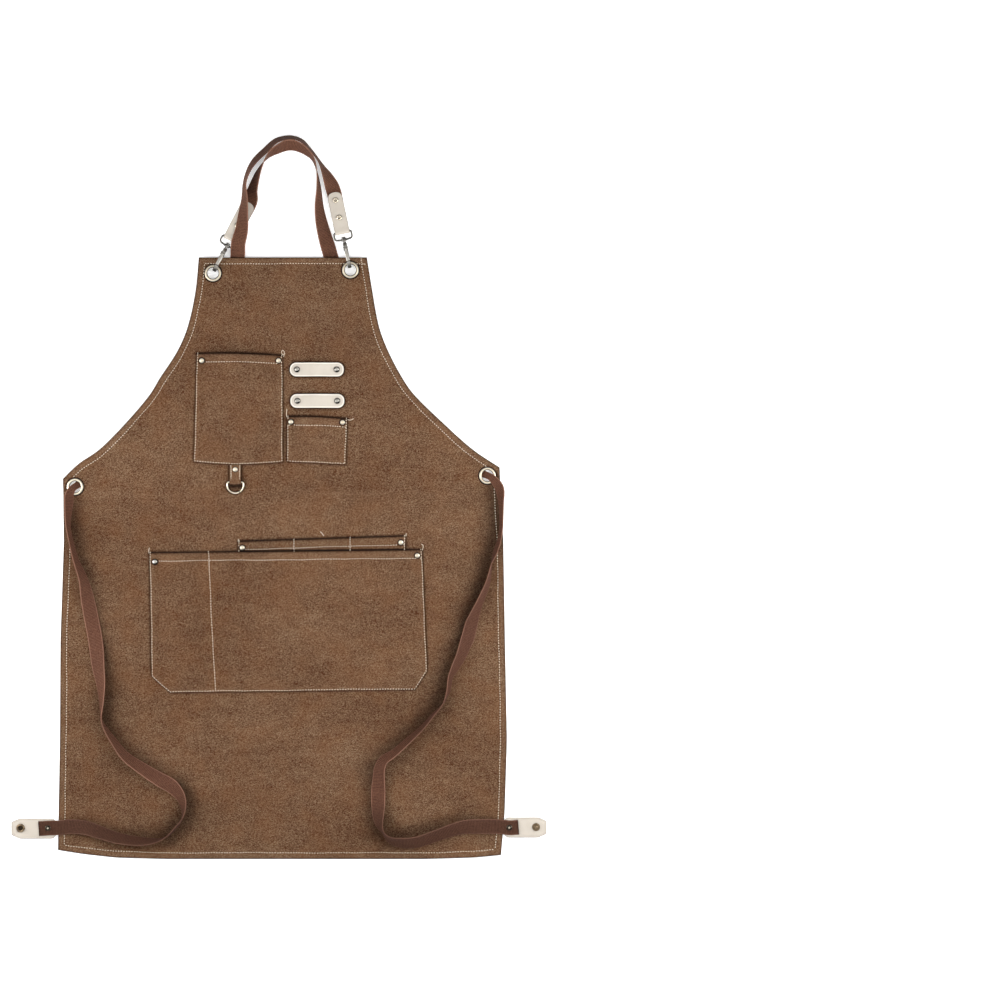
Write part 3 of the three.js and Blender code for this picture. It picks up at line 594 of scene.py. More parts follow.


# the darkest canvas colour serves for folded edges and for painted shade
canvasLook = {"dark": tone(62, 28, 4), "light": tone(150, 120, 93), "worn": tone(142, 112, 88),
              "warm": tone(124, 80, 48), "warmth": 0.22, "curve": 1.5, "fold": tone(24, 12, 6),
              "roughness": 0.86, "broad": 0.42, "fine": 0.64, "slub": 0.72, "pitch": 0.0009, "bump": 0.0005}
webbingLook = {"dark": tone(48, 29, 21), "light": tone(112, 75, 58), "selvedgeAndHighlight": tone(146, 106, 88),
               "cut": tone(40, 24, 17), "roughness": 0.8, "pitch": 0.0020, "fuzz": 1.5, "bump": 0.0003}
leatherLook = {"dark": tone(182, 173, 161), "light": tone(200, 192, 181), "cut": tone(70, 52, 38),
               "pale": tone(236, 230, 220), "roughness": 0.55, "scale": 620.0, "rim": 0.85, "bump": 0.00008}
# the rim colour is the colour of painted shade on the metal
brassLook = {"dark": tone(196, 172, 132), "light": tone(252, 244, 226), "rim": tone(30, 21, 13),
             "roughness": 0.3, "scale": 260.0, "tarnishAndSideShade": 0.8}
bronzeLook = {"dark": tone(84, 68, 50), "light": tone(170, 148, 120), "rim": tone(26, 19, 14),
              "roughness": 0.3, "scale": 240.0, "tarnishAndSideShade": 1.0}
steelLook = {"dark": tone(130, 126, 118), "light": tone(226, 221, 212), "rim": tone(14, 13, 12),
             "roughness": 0.24, "scale": 200.0, "tarnishAndSideShade": 0.7}
threadLook = {"dark": tone(172, 148, 122), "light": tone(246, 232, 210), "roughness": 0.75, "broad": 0.4,
              "fine": 0.5, "slub": 0.3, "pitch": 0.0005, "bump": 0.00008}
labelLook = {"dark": tone(176, 170, 160), "light": tone(208, 204, 196), "roughness": 0.8, "broad": 0.2,
             "fine": 0.3, "slub": 0.2, "pitch": 0.0004, "bump": 0.00005}
canvas = clothMaterial("waxedCanvas", canvasLook)
webbing = webbingMaterial("webbing", webbingLook)
leather = leatherMaterial("paleLeather", leatherLook)
brass = metalMaterial("paleBrass", brassLook)
bronze = metalMaterial("darkBrass", bronzeLook)
steel = metalMaterial("steel", steelLook)
thread = clothMaterial("creamThread", threadLook)
labelCloth = clothMaterial("labelCloth", labelLook)
print("materials ready")


# heights of the cloth: it rises over the straps behind the bib and towards the hooks
cloth = {"gap": 0.3, "ply": 1.1, "hemDepth": 1.6, "hemWidth": 9.6, "hemStitch": 8.5}


def lift(y):
    return 3.0 * smoothStep(y, -70, 0) + 1.4 * smoothStep(y, 80, 280)


def backHeight(y):
    return lift(y) + cloth["hemDepth"]


def frontHeight(y):
    return backHeight(y) + cloth["ply"]


# pockets: mouths stand open a little, seams lie flat
pockets = {
    "chest_pocket": {
        "corners": [(-111.7, 194.2), (5.6, 191.4), (-116.2, 47.5), (6.2, 47.1)], "flat": (0.122, 0.150),
        "panels": [(0, 1, 0.11, 9)],  # from and to across the width, seam share, how far the mouth gapes
        "rivets": [(-104.5, 184.9), (-0.3, 184.9)], "belly": 3.5, "arch": 1.6},
    "small_pocket": {
        "corners": [(10.6, 108.6), (93.3, 105.5), (10.6, 47.5), (91.5, 43.2)], "flat": (0.083, 0.062),
        "panels": [(0, 1, 0.135, 8.5)], "rivets": [(16.3, 101.8), (86.5, 101.1)], "arch": 1.4},
    "tucked_pocket": {
        "corners": [(-55.7, -60.7), (172.4, -53.2), (-55.7, -195.5), (172.4, -195.5)], "flat": (0.228, 0.139),
        "panels": [(0, 0.334, 0.15, 2.5), (0.334, 0.667, 0.1, 2.5), (0.667, 1, 0.15, 2.5)],
        "rivets": [(-49.7, -69), (165.6, -61.8)],
        "dividers": [(0.334, 0.334), (0.667, 0.667)]},  # shares of the width at mouth and foot
    "lower_pocket": {
        "corners": [(-176.2, -76), (194.8, -71.9), (-173.2, -266), (203.2, -262)], "flat": (0.376, 0.190),
        "panels": [(0, 0.222, 0.16, 8.5), (0.222, 1, 0.045, 14)], "rivets": [(-168.3, -88.2), (188, -79.5)],
        "cuts": [(26.1, 23), (18.6, 26)],  # taken off the lower corners, across and up
        "dividers": [(0.217, 0.231)]},
}
pocketCut = {"seam": 1.9, "mouthStitch": 11.0, "hemRise": 0.9, "foot": 9.0}


def pocketSize(pocket):
    tl, tr, bl, br = (np.array(c, float) for c in pocket["corners"])
    return tr[0] - tl[0], (tl[1] + tr[1] - bl[1] - br[1]) / 2


def pocketSides(pocket, v):
    # left and right edge at this share of the height, first straight, then with the lower corners cut
    tl, tr, bl, br = (np.array(c, float) for c in pocket["corners"])
    height = pocketSize(pocket)[1]
    straight = [bl + (tl - bl) * v[..., None], br + (tr - br) * v[..., None]]
    cut = [edge.copy() for edge in straight]
    for side, edge, (across, up) in zip((1, -1), cut, pocket.get("cuts", [])):
        edge[..., 0] += side * across * np.clip(1 - v * height / up, 0, 1)
    return straight, cut


def pocketSpot(pocket, u, v):
    # top and under side, with the distances to seam and mouth
    height = pocketSize(pocket)[1]
    (straightLeft, straightRight), (left, right) = pocketSides(pocket, v)
    spot = left + (right - left) * u[..., None]
    spot[..., 1] += 4 * u * (1 - u) * (pocket.get("arch", 0) * v - pocket.get("belly", 0) * (1 - v))
    x, y = spot[..., 0], spot[..., 1]
    flat = np.ones_like(v)
    for side, corner, (across, up) in zip((1, -1), pocket["corners"][2:], pocket.get("cuts", [])):
        away = side * (x - corner[0]) / across + (y - corner[1]) / up - 1
        flat = flat * smoothStep(away * across * up / math.hypot(across, up), 2, 32)
    share = (x - straightLeft[..., 0]) / (straightRight[..., 0] - straightLeft[..., 0])
    rise = np.zeros_like(v)
    for start, end, seam, gape in pocket["panels"]:
        s = np.clip((share - start) / (end - start), 0, 1)
        inside = np.clip((np.minimum(s, 1 - s) - seam) / (0.5 - seam), 0, 1)
        rise += gape * (1 - (1 - inside) ** 3)
    foot = pocketCut["foot"] / height
    rise *= np.clip((v - foot) / (1 - foot), 0, 1) ** 0.6 * flat
    seamD = np.minimum(np.minimum(u, 1 - u) * (right[..., 0] - left[..., 0]), v * height)
    mouthD = (1 - v) * height
    under = frontHeight(y) + cloth["gap"] + rise + 0.05 * wave(x, y, 43, 3.0)
    top = under + cloth["ply"] + pocketCut["hemRise"] * (1 - smoothStep(mouthD, 9.5, 16))
    slack = 0.22 * wave(x, y, 61, 5.0) * smoothStep(seamD, 4, 25) * smoothStep(mouthD, 3, 20)
    pucker = wave(x, y, 9, 6.0) * groove(seamD, 2.5, 0.09, 2.5)
    pressed = groove(seamD, pocketCut["seam"], 0.3, 0.5) + groove(mouthD, pocketCut["mouthStitch"], 0.3, 0.6)
    top = top + slack + pucker - pressed - rounded(np.minimum(seamD, mouthD), 0.9)
    low = np.minimum(under + rounded(mouthD, 0.6), top - 0.12)
    return np.stack([x, y, top], -1), np.stack([x, y, low], -1), seamD, mouthD


def pocketLine(pocket, u, v):
    u, v = np.broadcast_arrays(np.asarray(u, float), np.asarray(v, float))
    return pocketSpot(pocket, u, v)[0]


# leather tool loops, canvas tab and its ring
toolLoops = {"tool_loop_upper": (51.6, 172.9), "tool_loop_lower": (52.3, 130.3)}
loopLook = {"length": 73.3, "width": 18.9, "round": 8.6, "thick": 2.0, "bow": 7.0, "free": 20.0,
            "rivet": 27.0, "line": 2.3, "flat": (0.0189, 0.0765)}
tabLook = {"x": -59.0, "width": 16.0, "top": 43.4, "barY": 20.2, "ply": 1.1, "wire": 1.25, "rivetY": 37.2,
           "flatTo": 31.0, "stitch": 6.1, "flat": (0.016, 0.056)}
ringLook = {"radius": 11.25, "drop": 3.7, "tilt": math.radians(5.3), "sides": 16,
            "corner": [(11.0, -1.9), (10.3, -0.7), (9.2, -0.1), (8.0, 0), (4, 0)]}


# straps in stretches from the neck to the end of the tie
strapLook = {"width": 20.0, "thick": 1.4, "perSpan": 8, "inTab": (8, 31, 56.5)}
snapTabTop = 3.2
onCloth = -1
straps = {
    "left_strap": {
        "hook": "right", "endRoll": 180, "clothShade": (6, 12.0, 0.46),  # how far inward, reach, strength
        "shades": [(425, 460, 0.4), (-390, -450, 0.54)],  # painted shade: from y, to y, how much darker
        "neck": [  # x, y, rest height, roll
            (69.2, 427.6, 0, 30), (61.1, 443.9, 0, 68), (54.0, 456.6, 0, 84), (38.7, 475.9, 0, 79),
            (30.1, 483.6, 0, 75), (16.3, 487.4, 0, 72), (-3.1, 483.2, 0, 66), (-18.7, 469.4, 0, 61),
            (-32.2, 456.2, 0, 63), (-40.5, 443.1, 0, 70), (-46.2, 424.9, 1.5, 77), (-46.2, 402.8, 7.2, 62),
            (-48.2, 380.2, 8.6, 43), (-50.2, 361.1, 9.8, 24), (-54.6, 344.8, 9.4, 6), (-55.5, 336.6, 8.0, 1),
            (-56, 326.6, 1.8, 0)],
        "behind": [  # x, y under the bib
            (-58.3, 316), (-81.5, 281), (-97.7, 240.7), (-113.1, 207.4), (-125.6, 165.9), (-147.8, 141.7),
            (-171.5, 119.5), (-190.9, 98), (-220.7, 64.8)],
        "eyelet": [  # x, y, rest height, roll, width
            (-254.1, 31.6, 0, 0, 18), (-265.5, 22.5, 0.1, 0, 14), (-272.9, 16.6, 0.5, 0, 9.4),
            (-279.9, 11, 7.2, 0, 9.4), (-283.9, 2.5, 6.8, -32, 13), (-284.6, -10.9, onCloth, -57, 19)],
        "tie": [  # x, y, roll, lying on the cloth
            (-285.3, -38, -77), (-281, -62.4, -76), (-274.9, -85.5, -72), (-264.8, -112.7, -56),
            (-260, -135.8, -30), (-252.5, -175.1, 0), (-248.4, -198.2, 4), (-244.9, -229.4, 26),
            (-241, -255.2, 52), (-240.3, -279.6, 70), (-240, -302.2, 90), (-233.5, -316.3, 103),
            (-222.6, -332.6, 114), (-208.1, -351.6, 125), (-181.9, -370.6, 143), (-160.2, -384.2, 160),
            (-143.9, -393.7, 195), (-132.4, -407.3, 228), (-129, -422.2, 248), (-131, -435.8, 268),
            (-139.1, -448, 280), (-156.1, -462.9, 270), (-181.9, -467, 238), (-217.2, -462.9, 224),
            (-243, -454.8, 210), (-263.4, -448.6, 196), (-283.7, -447.3, 184)],
        "end": [(-299, -448.8), (-313.6, -449.3), (-326.1, -450)]},  # x, y on the snap tab
    "right_strap": {
        "hook": "left", "endRoll": 0, "clothShade": (-7, 15.0, 0.62),
        "shades": [(-20, -110, 0.3), (-290, -360, -0.28), (-400, -450, 0.44)],
        "neck": [
            (-35.6, 416.5, 0, -45), (-28.5, 438.5, 0, -66), (-22.8, 450.3, 0, -80), (-18.3, 457.5, 0, -91),
            (-11.5, 465, 0, -107), (-1.4, 471.7, 0, -124), (13.6, 477.3, 0, -137), (25.8, 475.1, 0, -130),
            (38, 467.7, 0, -115), (47, 457.5, 0, -101), (52, 440.1, 0, -90), (54.4, 416.5, 0, -72),
            (54.7, 395, 0, -56), (57.7, 373.3, 0, -38), (63.1, 351.6, 0, -18), (67.9, 335.3, 0, 0)],
        "behind": [
            (70.6, 325.8), (86.9, 283.9), (109.1, 227.4), (131.4, 170.9), (141.7, 142.5), (164.8, 104.9),
            (192.6, 77.4), (218.4, 57.2)],
        "eyelet": [
            (243.1, 47.4, 0, 0, 19), (270.3, 34.8, 0.1, 0, 14), (278.9, 30.8, 0.5, 0, 9.4),
            (287.1, 27, 7.2, 0, 9.4), (295.5, 18.5, 6.8, 24, 13), (300.3, 9, onCloth, 50, 18)],
        "tie": [
            (301.6, -7, 70), (302, -25.8, 76), (301.4, -45, 78), (298.6, -60, 74), (293.3, -76, 72),
            (288.6, -90, 88), (283.7, -115.5, 110), (272.5, -143, 118), (265.2, -160.6, 133),
            (261.6, -171, 150), (256, -191.8, 158), (252.2, -202.1, 145), (246.7, -216.7, 134),
            (240.4, -229.1, 127), (233.2, -243.7, 109), (229.6, -264.4, 104), (222.3, -281, 90),
            (209.2, -295.4, 78), (195.8, -311.5, 75), (176, -330, 66), (156, -347.6, 61), (142, -357.5, 50),
            (136.8, -369, 40), (135.5, -386, 30), (134.8, -401, 8), (134.8, -419, 20), (135.2, -433, 38),
            (137.2, -445.5, 62), (142, -455.5, 84), (150, -464, 64), (163, -468.5, 46), (186, -468.2, 37),
            (213.7, -459.2, 37), (241.4, -449.9, 25), (255.2, -447.5, 12), (269, -447.1, 5),
            (292, -447.1, 0)],
        "end": [(304, -447.8), (312.4, -448.9), (325.3, -448)]},
}


def strapRows(strap):
    # x, y, rest height, roll in degrees, width
    wide = strapLook["width"]
    rows = [(*row, wide) for row in strap["neck"]]
    rows += [(x, y, 0, 0, wide) for x, y in strap["behind"]]
    rows += strap["eyelet"]
    rows += [(x, y, onCloth, roll, wide) for x, y, roll in strap["tie"]]
    return rows + [(x, y, snapTabTop, strap["endRoll"], wide) for x, y in strap["end"]]


# shade where pieces meet the cloth: reach and strength
contact = {"seam": (1.3, 0.72), "mouth": (1.6, 1.4), "loop": (2.2, 1.0), "tab": (1.6, 0.95),
           "ring": (2.6, 0.88), "ringGap": (3.4, 0.95)}


def openDistance(points, path):
    low, high = path.min(0) - 30, path.max(0) + 30
    near = ((points > low) & (points < high)).all(1)
    found = np.full(len(points), 99.0)
    if near.any():
        found[near] = edgeDistance(points[near], np.vstack([path, path[-2:0:-1]]))
    return found


def seamShade(points, lines):
    total = np.zeros(len(points))
    for path, reach, strength in lines:
        total = np.maximum(total, strength * np.exp(-(openDistance(points, path) / reach) ** 2))
    return total


def ringShade(points, centres, radius, strength):
    total = np.zeros(len(points))
    for x, y in centres:
        away = np.hypot(points[:, 0] - x, points[:, 1] - y)
        total = np.maximum(total, strength * (1 - smoothStep(away, radius, radius + 1.4)))
    return total


def seamPoints(lines):
    # rows of points beside each path, so that its shade has a clean edge
    rows = []
    for path, reach, _ in lines:
        path = alongPath(path, 3.0)
        side = leftOf(unit(np.gradient(path, axis=0)))
        rows += [path + side * reach * k for k in (-2.2, -1.1, 0, 1.1, 2.2)]
    return np.concatenate(rows)


def pocketShadeLines(pocket):
    across, up = np.linspace(0, 1, 60), np.linspace(1, 0, 40)
    left, right = (pocketLine(pocket, u, up)[:, :2] for u in (0.0, 1.0))
    base, mouth = (pocketLine(pocket, across, v)[:, :2] for v in (0.0, 1.0))
    seam = np.concatenate([left, base[1:-1], right[::-1]])
    return [(seam, *contact["seam"]), (mouth + (0, 0.6), *contact["mouth"])]


# body of the apron
bodyCut = {
    "corners": [(-300, -479.2), (301.4, -486), (299.5, 40.2), (119.5, 325), (-108.6, 325), (-293.2, 24.4)],
    "bottom": [(-266, -484.6), (-221, -489.6), (-153, -491.4), (200, -491.4), (267, -489.4)],
    "right": [(306.3, -430), (309.5, -330), (306.8, -195), (304.6, -62), (301, 8)],
    "rightArm": [(263.4, 64), (223, 100), (184, 138), (167.7, 161), (149, 196), (135.8, 231), (127, 278)],
    "leftArm": [(-113.2, 278), (-123.5, 231), (-138.6, 196), (-161.8, 161), (-175.5, 138), (-208, 100),
                (-243.7, 64), (-270.7, 46.2)],
    "left": [(-292.6, 8), (-292.1, -62), (-296.6, -195), (-297.3, -330)],
    "step": 4.0, "spacing": 5.0, "insets": [0.25, 0.7, 1.3, 2.4, 4.6, 7.2, 7.9, 8.5, 9.1, 9.6, 9.75, 10.6],
    "creases": [(2.7, 0.3), (-351.6, 0.34)], "bibCrease": (21.7, 0.2), "creaseWidth": 2.6,
}
eyeletSpots = {"eyelet_top_left": (-89.3, 303.5), "eyelet_top_right": (97.1, 307.9),
               "eyelet_waist_left": (-276.4, 13.8), "eyelet_waist_right": (283.0, 28.9)}
eyeletLook = {"hole": 8.5, "bore": 7.5, "barrel": 8.1, "flange": 11.5, "washer": 10.0, "clear": 12.3,
              "shadeRows": (11.4, 12.1, 12.8, 13.6), "sides": 56,
              "mark": [1, 1, 1, 1, 0.95, 0.6, 0.1, 0, 0, 0.1, 0.6, 1, 1, 1, 0.9, 0.8, 0.5, 0.3, 0.1, 0.5,
                       0.9, 1]}


def bodyLoop(cut):
    corner = cut["corners"]
    sides = [
        [corner[0], *cut["bottom"], corner[1]],
        [corner[1], *cut["right"], corner[2]],
        throughSpline([corner[2], *cut["rightArm"], corner[3]], 12),
        [corner[3], corner[4]],
        throughSpline([corner[4], *cut["leftArm"], corner[5]], 12),
        [corner[5], *cut["left"], corner[0]],
    ]
    loop = []
    for side in sides:
        row = alongPath(side, cut["step"])
        for _ in range(6):  # eases the bends between the measured points
            row[1:-1] = 0.25 * row[:-2] + 0.5 * row[1:-1] + 0.25 * row[2:]
        loop.append(row[:-1])
    return np.concatenate(loop)


def creaseValue(x, y):
    total = np.zeros_like(x)
    for at, depth in bodyCut["creases"]:
        line = at + 2.2 * np.sin(x / 70) + 1.1 * np.sin(x / 23)
        patchy = np.clip(0.55 + 0.6 * wave(x, y * 0, 210, at), 0, 1)
        total += patchy * groove(y, line, depth, bodyCut["creaseWidth"])
    at, depth = bodyCut["bibCrease"]
    line = at + 1.5 * np.sin(y / 31)
    return total + groove(x, line, depth, bodyCut["creaseWidth"]) * smoothStep(y, 190, 230)


def clothSway(x, y, d):
    return (0.16 * wave(x, y, 150, 1.0) + 0.07 * wave(x, y, 37, 2.0)) * smoothStep(d, 8, 40)


def bodyFront(x, y, d):
    hemBand = smoothStep(d, 0.4, 2.5) * (1 - smoothStep(d, 7.2, 9.4))
    pucker = 0.10 * wave(x, y, 11, 4.0) * hemBand
    z = frontHeight(y) + clothSway(x, y, d) + pucker + 0.16 * hemBand - creaseValue(x, y)
    return z - groove(d, cloth["hemStitch"], 0.34, 0.6) - rounded(d, 1.3)


def bodyBack(x, y, d):
    hem = lift(y) + rounded(d, 1.2) + 0.35 * smoothStep(d, cloth["hemWidth"] - 0.5, cloth["hemWidth"])
    inner = backHeight(y) + clothSway(x, y, d) - creaseValue(x, y)
    return np.where(d < cloth["hemWidth"] + 0.05, hem, inner)


outline = bodyLoop(bodyCut)
bands = [(x, y + k) for y, _ in bodyCut["creases"] for k in (-5, -3, -1.5, 0, 1.5, 3, 5)
         for x in np.arange(-300, 310, 4.0)]
shadeLines = [line for pocket in pockets.values() for line in pocketShadeLines(pocket)]
for spot in toolLoops.values():
    around = roundRect(loopLook["length"], loopLook["width"], loopLook["round"], 3.0) + np.array(spot)
    shadeLines.append((np.vstack([around, around[:1]]), *contact["loop"]))
for x in (-67.2, -50.8):  # sides of the ring tab
    shadeLines.append((np.array([(x, 43.0), (x, 34.0), (x, 20.0)]), *contact["tab"]))
ringArc = np.radians(np.linspace(165, 375, 40))
ringPlan = np.column_stack([-59 + 11.2 * np.cos(ringArc), 16.4 + 11.2 * np.sin(ringArc)])
shadeLines.append((ringPlan, *contact["ring"]))
shadeLines.append((np.array([(-66.0, 15.0), (-59.0, 14.4), (-52.0, 15.0)]), *contact["ringGap"]))
tieShade = []  # on the inner side of each tie
for strap in straps.values():
    inward, reach, strength = strap["clothShade"]
    way = np.array([(x + inward, y + 3) for x, y, rest, _, _ in strapRows(strap) if rest == onCloth])
    tieShade += [(way[way[:, 1] > -210], reach, strength), (way[way[:, 1] < -190], reach + 2, 0.54)]
aroundEyelets = [circleSection(r, 40) + np.array(spot)
                 for spot in eyeletSpots.values() for r in eyeletLook["shadeRows"]]
extra = np.concatenate([bands, seamPoints(shadeLines), *aroundEyelets])
eyeletHoles = [(x, y, eyeletLook["hole"]) for x, y in eyeletSpots.values()]
bodyPoints, bodyFaces = trimmedPatch(outline, bodyCut["insets"], bodyCut["spacing"], eyeletHoles, extra)
bodyX, bodyY = bodyPoints.T
bodyD = edgeDistance(bodyPoints, outline)
bodyShape = patchSolid(bodyPoints, bodyFaces, bodyFront(bodyX, bodyY, bodyD), bodyBack(bodyX, bodyY, bodyD))
# painted shade on the body's edge mark: along the hem stitch line, beside pockets, tool loops, ring tab and
# ties, and round the eyelets, with the folded edge darker; behind, painted shade at the hem's step
bodyShade = np.maximum(seamShade(bodyPoints, shadeLines + tieShade),
                       ringShade(bodyPoints, eyeletSpots.values(), eyeletLook["clear"], 1.0))
frontEdge = 0.9 * np.exp(-bodyD) + groove(bodyD, cloth["hemStitch"], 0.35, 0.7) + bodyShade
backEdge = 0.6 * np.exp(-bodyD / 0.7) + groove(bodyD, 9.7, 0.8, 0.3)
creased = creaseValue(bodyX, bodyY)
hemWear = 0.35 * smoothStep(bodyD, 1, 3) * (1 - smoothStep(bodyD, 6, 8.5))
worn = np.concatenate([np.clip(creased * 1.2, 0, 1) + hemWear, creased * 1.5])
bodyMarks = {"edge": np.clip(np.concatenate([frontEdge, backEdge]), 0, 1), "fade": np.clip(worn, 0, 1)}
apronBody = makePiece("apron_body_cloth", bodyShape, canvas, ["apron_body"], sharp=62,
                      marks=bodyMarks)
print("body", len(bodyShape[0]), "points")


# pocket cloth and its seams, with rows of points at these distances from seam and mouth
pocketRows = {"rim": np.array([0, 0.18, 0.45, 0.9, 1.4, 1.9, 2.4, 3.2, *range(4, 14)]), "step": 4.5,
              "mouth": np.array([*range(22, 11, -1), 11.5, 11, 10.5, *range(10, 2, -1), 1.8, 0.9, 0.45,
                                 0.18, 0])}


def pocketShape(pocket):
    width, height = pocketSize(pocket)
    rim, mouth, step = pocketRows["rim"], pocketRows["mouth"], pocketRows["step"]
    across = np.concatenate([rim, np.linspace(16, width - 16, int(width / step)), width - rim[::-1]])
    along = np.concatenate([rim[:8], np.linspace(5.5, height - 25, int(height / step)), height - mouth])
    u, v = np.meshgrid(across / width, along / height)
    top, low, seamD, mouthD = pocketSpot(pocket, u, v)
    # painted shade along the seams, under the mouth's edge and in the mouth stitch line, and round the rivets
    edge = 0.9 * np.maximum(np.exp(-seamD / 0.8), np.exp(-mouthD / 1.5))
    edge = (edge + groove(mouthD, pocketCut["mouthStitch"], 0.35, 0.7)).ravel()
    fade = 0.3 * smoothStep(mouthD, 0.6, 2) * (1 - smoothStep(mouthD, 8, 11)) + groove(seamD, 4, 0.25, 2)
    plan = top.reshape(-1, 3)[:, :2]
    shade = ringShade(plan, pocket["rivets"], 4.2, 0.85)
    if pocket is pockets["tucked_pocket"]:  # lies behind the mouth of the lower pocket
        shade = np.maximum(shade, seamShade(plan, pocketShadeLines(pockets["lower_pocket"])[1:]))
    front = np.maximum(np.clip(edge, 0, 1), shade)
    marks = {"edge": np.concatenate([front, edge]),
             "fade": np.concatenate([fade.ravel(), np.zeros(fade.size)])}
    return gridSolid(top, low), marks


def straightShare(pocket, share, v):
    # u of a point at this share of the width, where cut corners narrow the lowest rows
    (left, right), (cutLeft, cutRight) = (np.array(edges)[..., 0] for edges in pocketSides(pocket, v))
    return ((right - left) * share - (cutLeft - left)) / (cutRight - cutLeft)


def pocketSeams(pocket):
    width, height = pocketSize(pocket)
    inset, foot = pocketCut["seam"] / width, pocketCut["seam"] / height
    down, across = np.linspace(1, foot, 80), np.linspace(inset, 1 - inset, 120)
    left = pocketLine(pocket, inset, down)
    base = pocketLine(pocket, across, foot)
    right = pocketLine(pocket, 1 - inset, down[::-1])
    mouth = pocketLine(pocket, across, 1 - pocketCut["mouthStitch"] / height)
    lines = []
    for top, bottom in pocket.get("dividers", []):
        share = bottom + (top - bottom) * down
        lines.append(pocketLine(pocket, straightShare(pocket, share, down), down))
    return np.concatenate([left, base[1:-1], right]), mouth, lines


def onBack(path):
    spots = path.copy()
    spots[:, 2] = bodyBack(path[:, 0], path[:, 1], edgeDistance(path[:, :2], outline))
    return spots


def stitchPiece(name, shapes):
    return makePiece(name, joined(shapes), thread)


endTack = {"pitch": 2.2, "length": 2.4, "radius": 0.4}
pocketPieces, backSeams = {}, []
for name, pocket in pockets.items():
    shape, marks = pocketShape(pocket)
    pocketPieces[name] = makePiece(name + "_cloth", shape, canvas, [name], sharp=70, marks=marks)
    around, mouth, lines = pocketSeams(pocket)
    avoid = [(x, y, 4.3) for x, y in pocket["rivets"]]
    rows = [stitches(around, avoid=avoid), stitches(mouth, avoid=avoid)]
    rows += [stitches(line) for line in lines]
    ends = [around[0], around[-1]] + [line[0] for line in lines]
    rows += [stitches(spot + np.array([[0, 0.6 + k, 0.1], [0, -6.5 + k, 0.1]]), **endTack)
             for spot in ends for k in (0.0, 1.1)]
    pocket["thread"] = stitchPiece(name + "_stitches", rows)
    backSeams += [onBack(path) for path in [around, *lines]]
print("pockets", sorted(pocketPieces))


# hem stitches on both faces, and the pocket seams as they show behind

def hemRuns(distance):
    # the stitch line from corner to corner
    row, kept = insetRows(outline, distance)
    runs = [[]]
    for i in np.roll(np.arange(len(row)), -np.argmin(kept)):
        if kept[i]:
            runs[-1].append(row[i])
        elif runs[-1]:
            runs.append([])
    return [np.array(run) for run in runs if len(run) > 2]


def threadEnd(points, rise=0.5, radius=0.42):
    # a loose end of thread, lying on whatever is under it
    path = throughSpline(points, 6)
    return sweep(np.column_stack([path, frontHeight(path[:, 1]) + rise]), circleSection(radius, 6))


threadEnds = [[(6.4, 190), (7.6, 196), (5.4, 199), (3.6, 196.4), (5.2, 193.4), (8.6, 194.2)],
              [(10.8, 108), (10.4, 113.5), (10.9, 119.5)], [(92.6, 105), (97, 104.4), (101.5, 106.2)],
              [(60.7, -53), (59, -49.8), (56.1, -47.2)], [(-176, -77), (-176.6, -72.6), (-175.8, -69)],
              [(194.6, -72.6), (195.8, -66.5), (193.4, -64)], [(-55.4, -61.4), (-54.6, -57)],
              [(172.2, -54), (172.8, -49.4)]]
cornerRuns = [[(112.4, 316.4), (111.6, 320), (111.2, 323.6)],
              [(112.4, 316.4), (115, 316.2), (118.4, 316.0)]]
cornerPitch = 2.9
looseThreads = stitchPiece("thread_ends", [threadEnd(points) for points in threadEnds])
eyeletRooms = [(x, y, eyeletLook["clear"]) for x, y in eyeletSpots.values()]
frontRows, backRows = [], []
for run in hemRuns(cloth["hemStitch"]):
    x, y = run.T
    d = np.full(len(run), cloth["hemStitch"])
    frontRows.append(stitches(np.column_stack([run, bodyFront(x, y, d)]), avoid=eyeletRooms))
    pressed = bodyBack(x, y, d) + 0.5
    backRows.append(stitches(np.column_stack([run, pressed]), up=-1, avoid=eyeletRooms))
for run in np.array(cornerRuns):
    z = bodyFront(*run.T, edgeDistance(run, outline))
    frontRows.append(stitches(np.column_stack([run, z]), cornerPitch))
backRows += [stitches(path, up=-1) for path in backSeams]
hemThread = stitchPiece("hem_stitches", frontRows)
backThread = stitchPiece("back_stitches", backRows)
print("stitches", len(hemThread.data.vertices), len(backThread.data.vertices))


# leather strips

def leatherStrip(loop, at, heightAt, thick, line, rivets, rim):
    insets = [0.15, 0.4, 0.8] + [line + k for k in (-0.7, -0.3, 0, 0.3, 0.7)]
    rings = [circleSection(r, 20) + np.array(spot) for spot in rivets for r in (3.8, 4.4, 5.2)]
    points, faces = trimmedPatch(loop, insets, 1.9, extra=np.concatenate([np.zeros((1, 2)), *rings]))
    d = edgeDistance(points, loop)
    low = heightAt(points[:, 0], points[:, 1])
    top = low + thick - rounded(d, 0.7) - groove(d, line, 0.22, 0.35)
    shape = patchSolid(points + np.array(at), faces, top, low + rounded(d, 0.4))
    edge = rim * np.exp(-d / 0.4)
    front = edge + groove(d, line, 0.16, 0.4) + ringShade(points, rivets, 3.9, 0.55)
    fade = np.concatenate([0.75 * (1 - smoothStep(d, 1.4, 2.6)), np.zeros(len(d))])
    return shape, {"edge": np.clip(np.concatenate([front, edge]), 0, 1), "fade": fade}


def leatherPiece(node, shape, marks):
    return makePiece(node + "_leather", shape, leather, [node], sharp=70, marks=marks)


def loopHeight(x, y):
    share = np.clip(np.abs(x) / loopLook["free"], 0, 1)
    return frontHeight(y) + cloth["gap"] + loopLook["bow"] * (1 - share ** 2) ** 2


for name, spot in toolLoops.items():
    loop = roundRect(loopLook["length"], loopLook["width"], loopLook["round"])
    rivets = [(-loopLook["rivet"], 0), (loopLook["rivet"], 0)]
    shape, marks = leatherStrip(loop, spot, lambda x, y: loopHeight(x, spot[1] + y), loopLook["thick"],
                                loopLook["line"], rivets, 0.6)
    leatherPiece(name, shape, marks)
print("tool loops done")
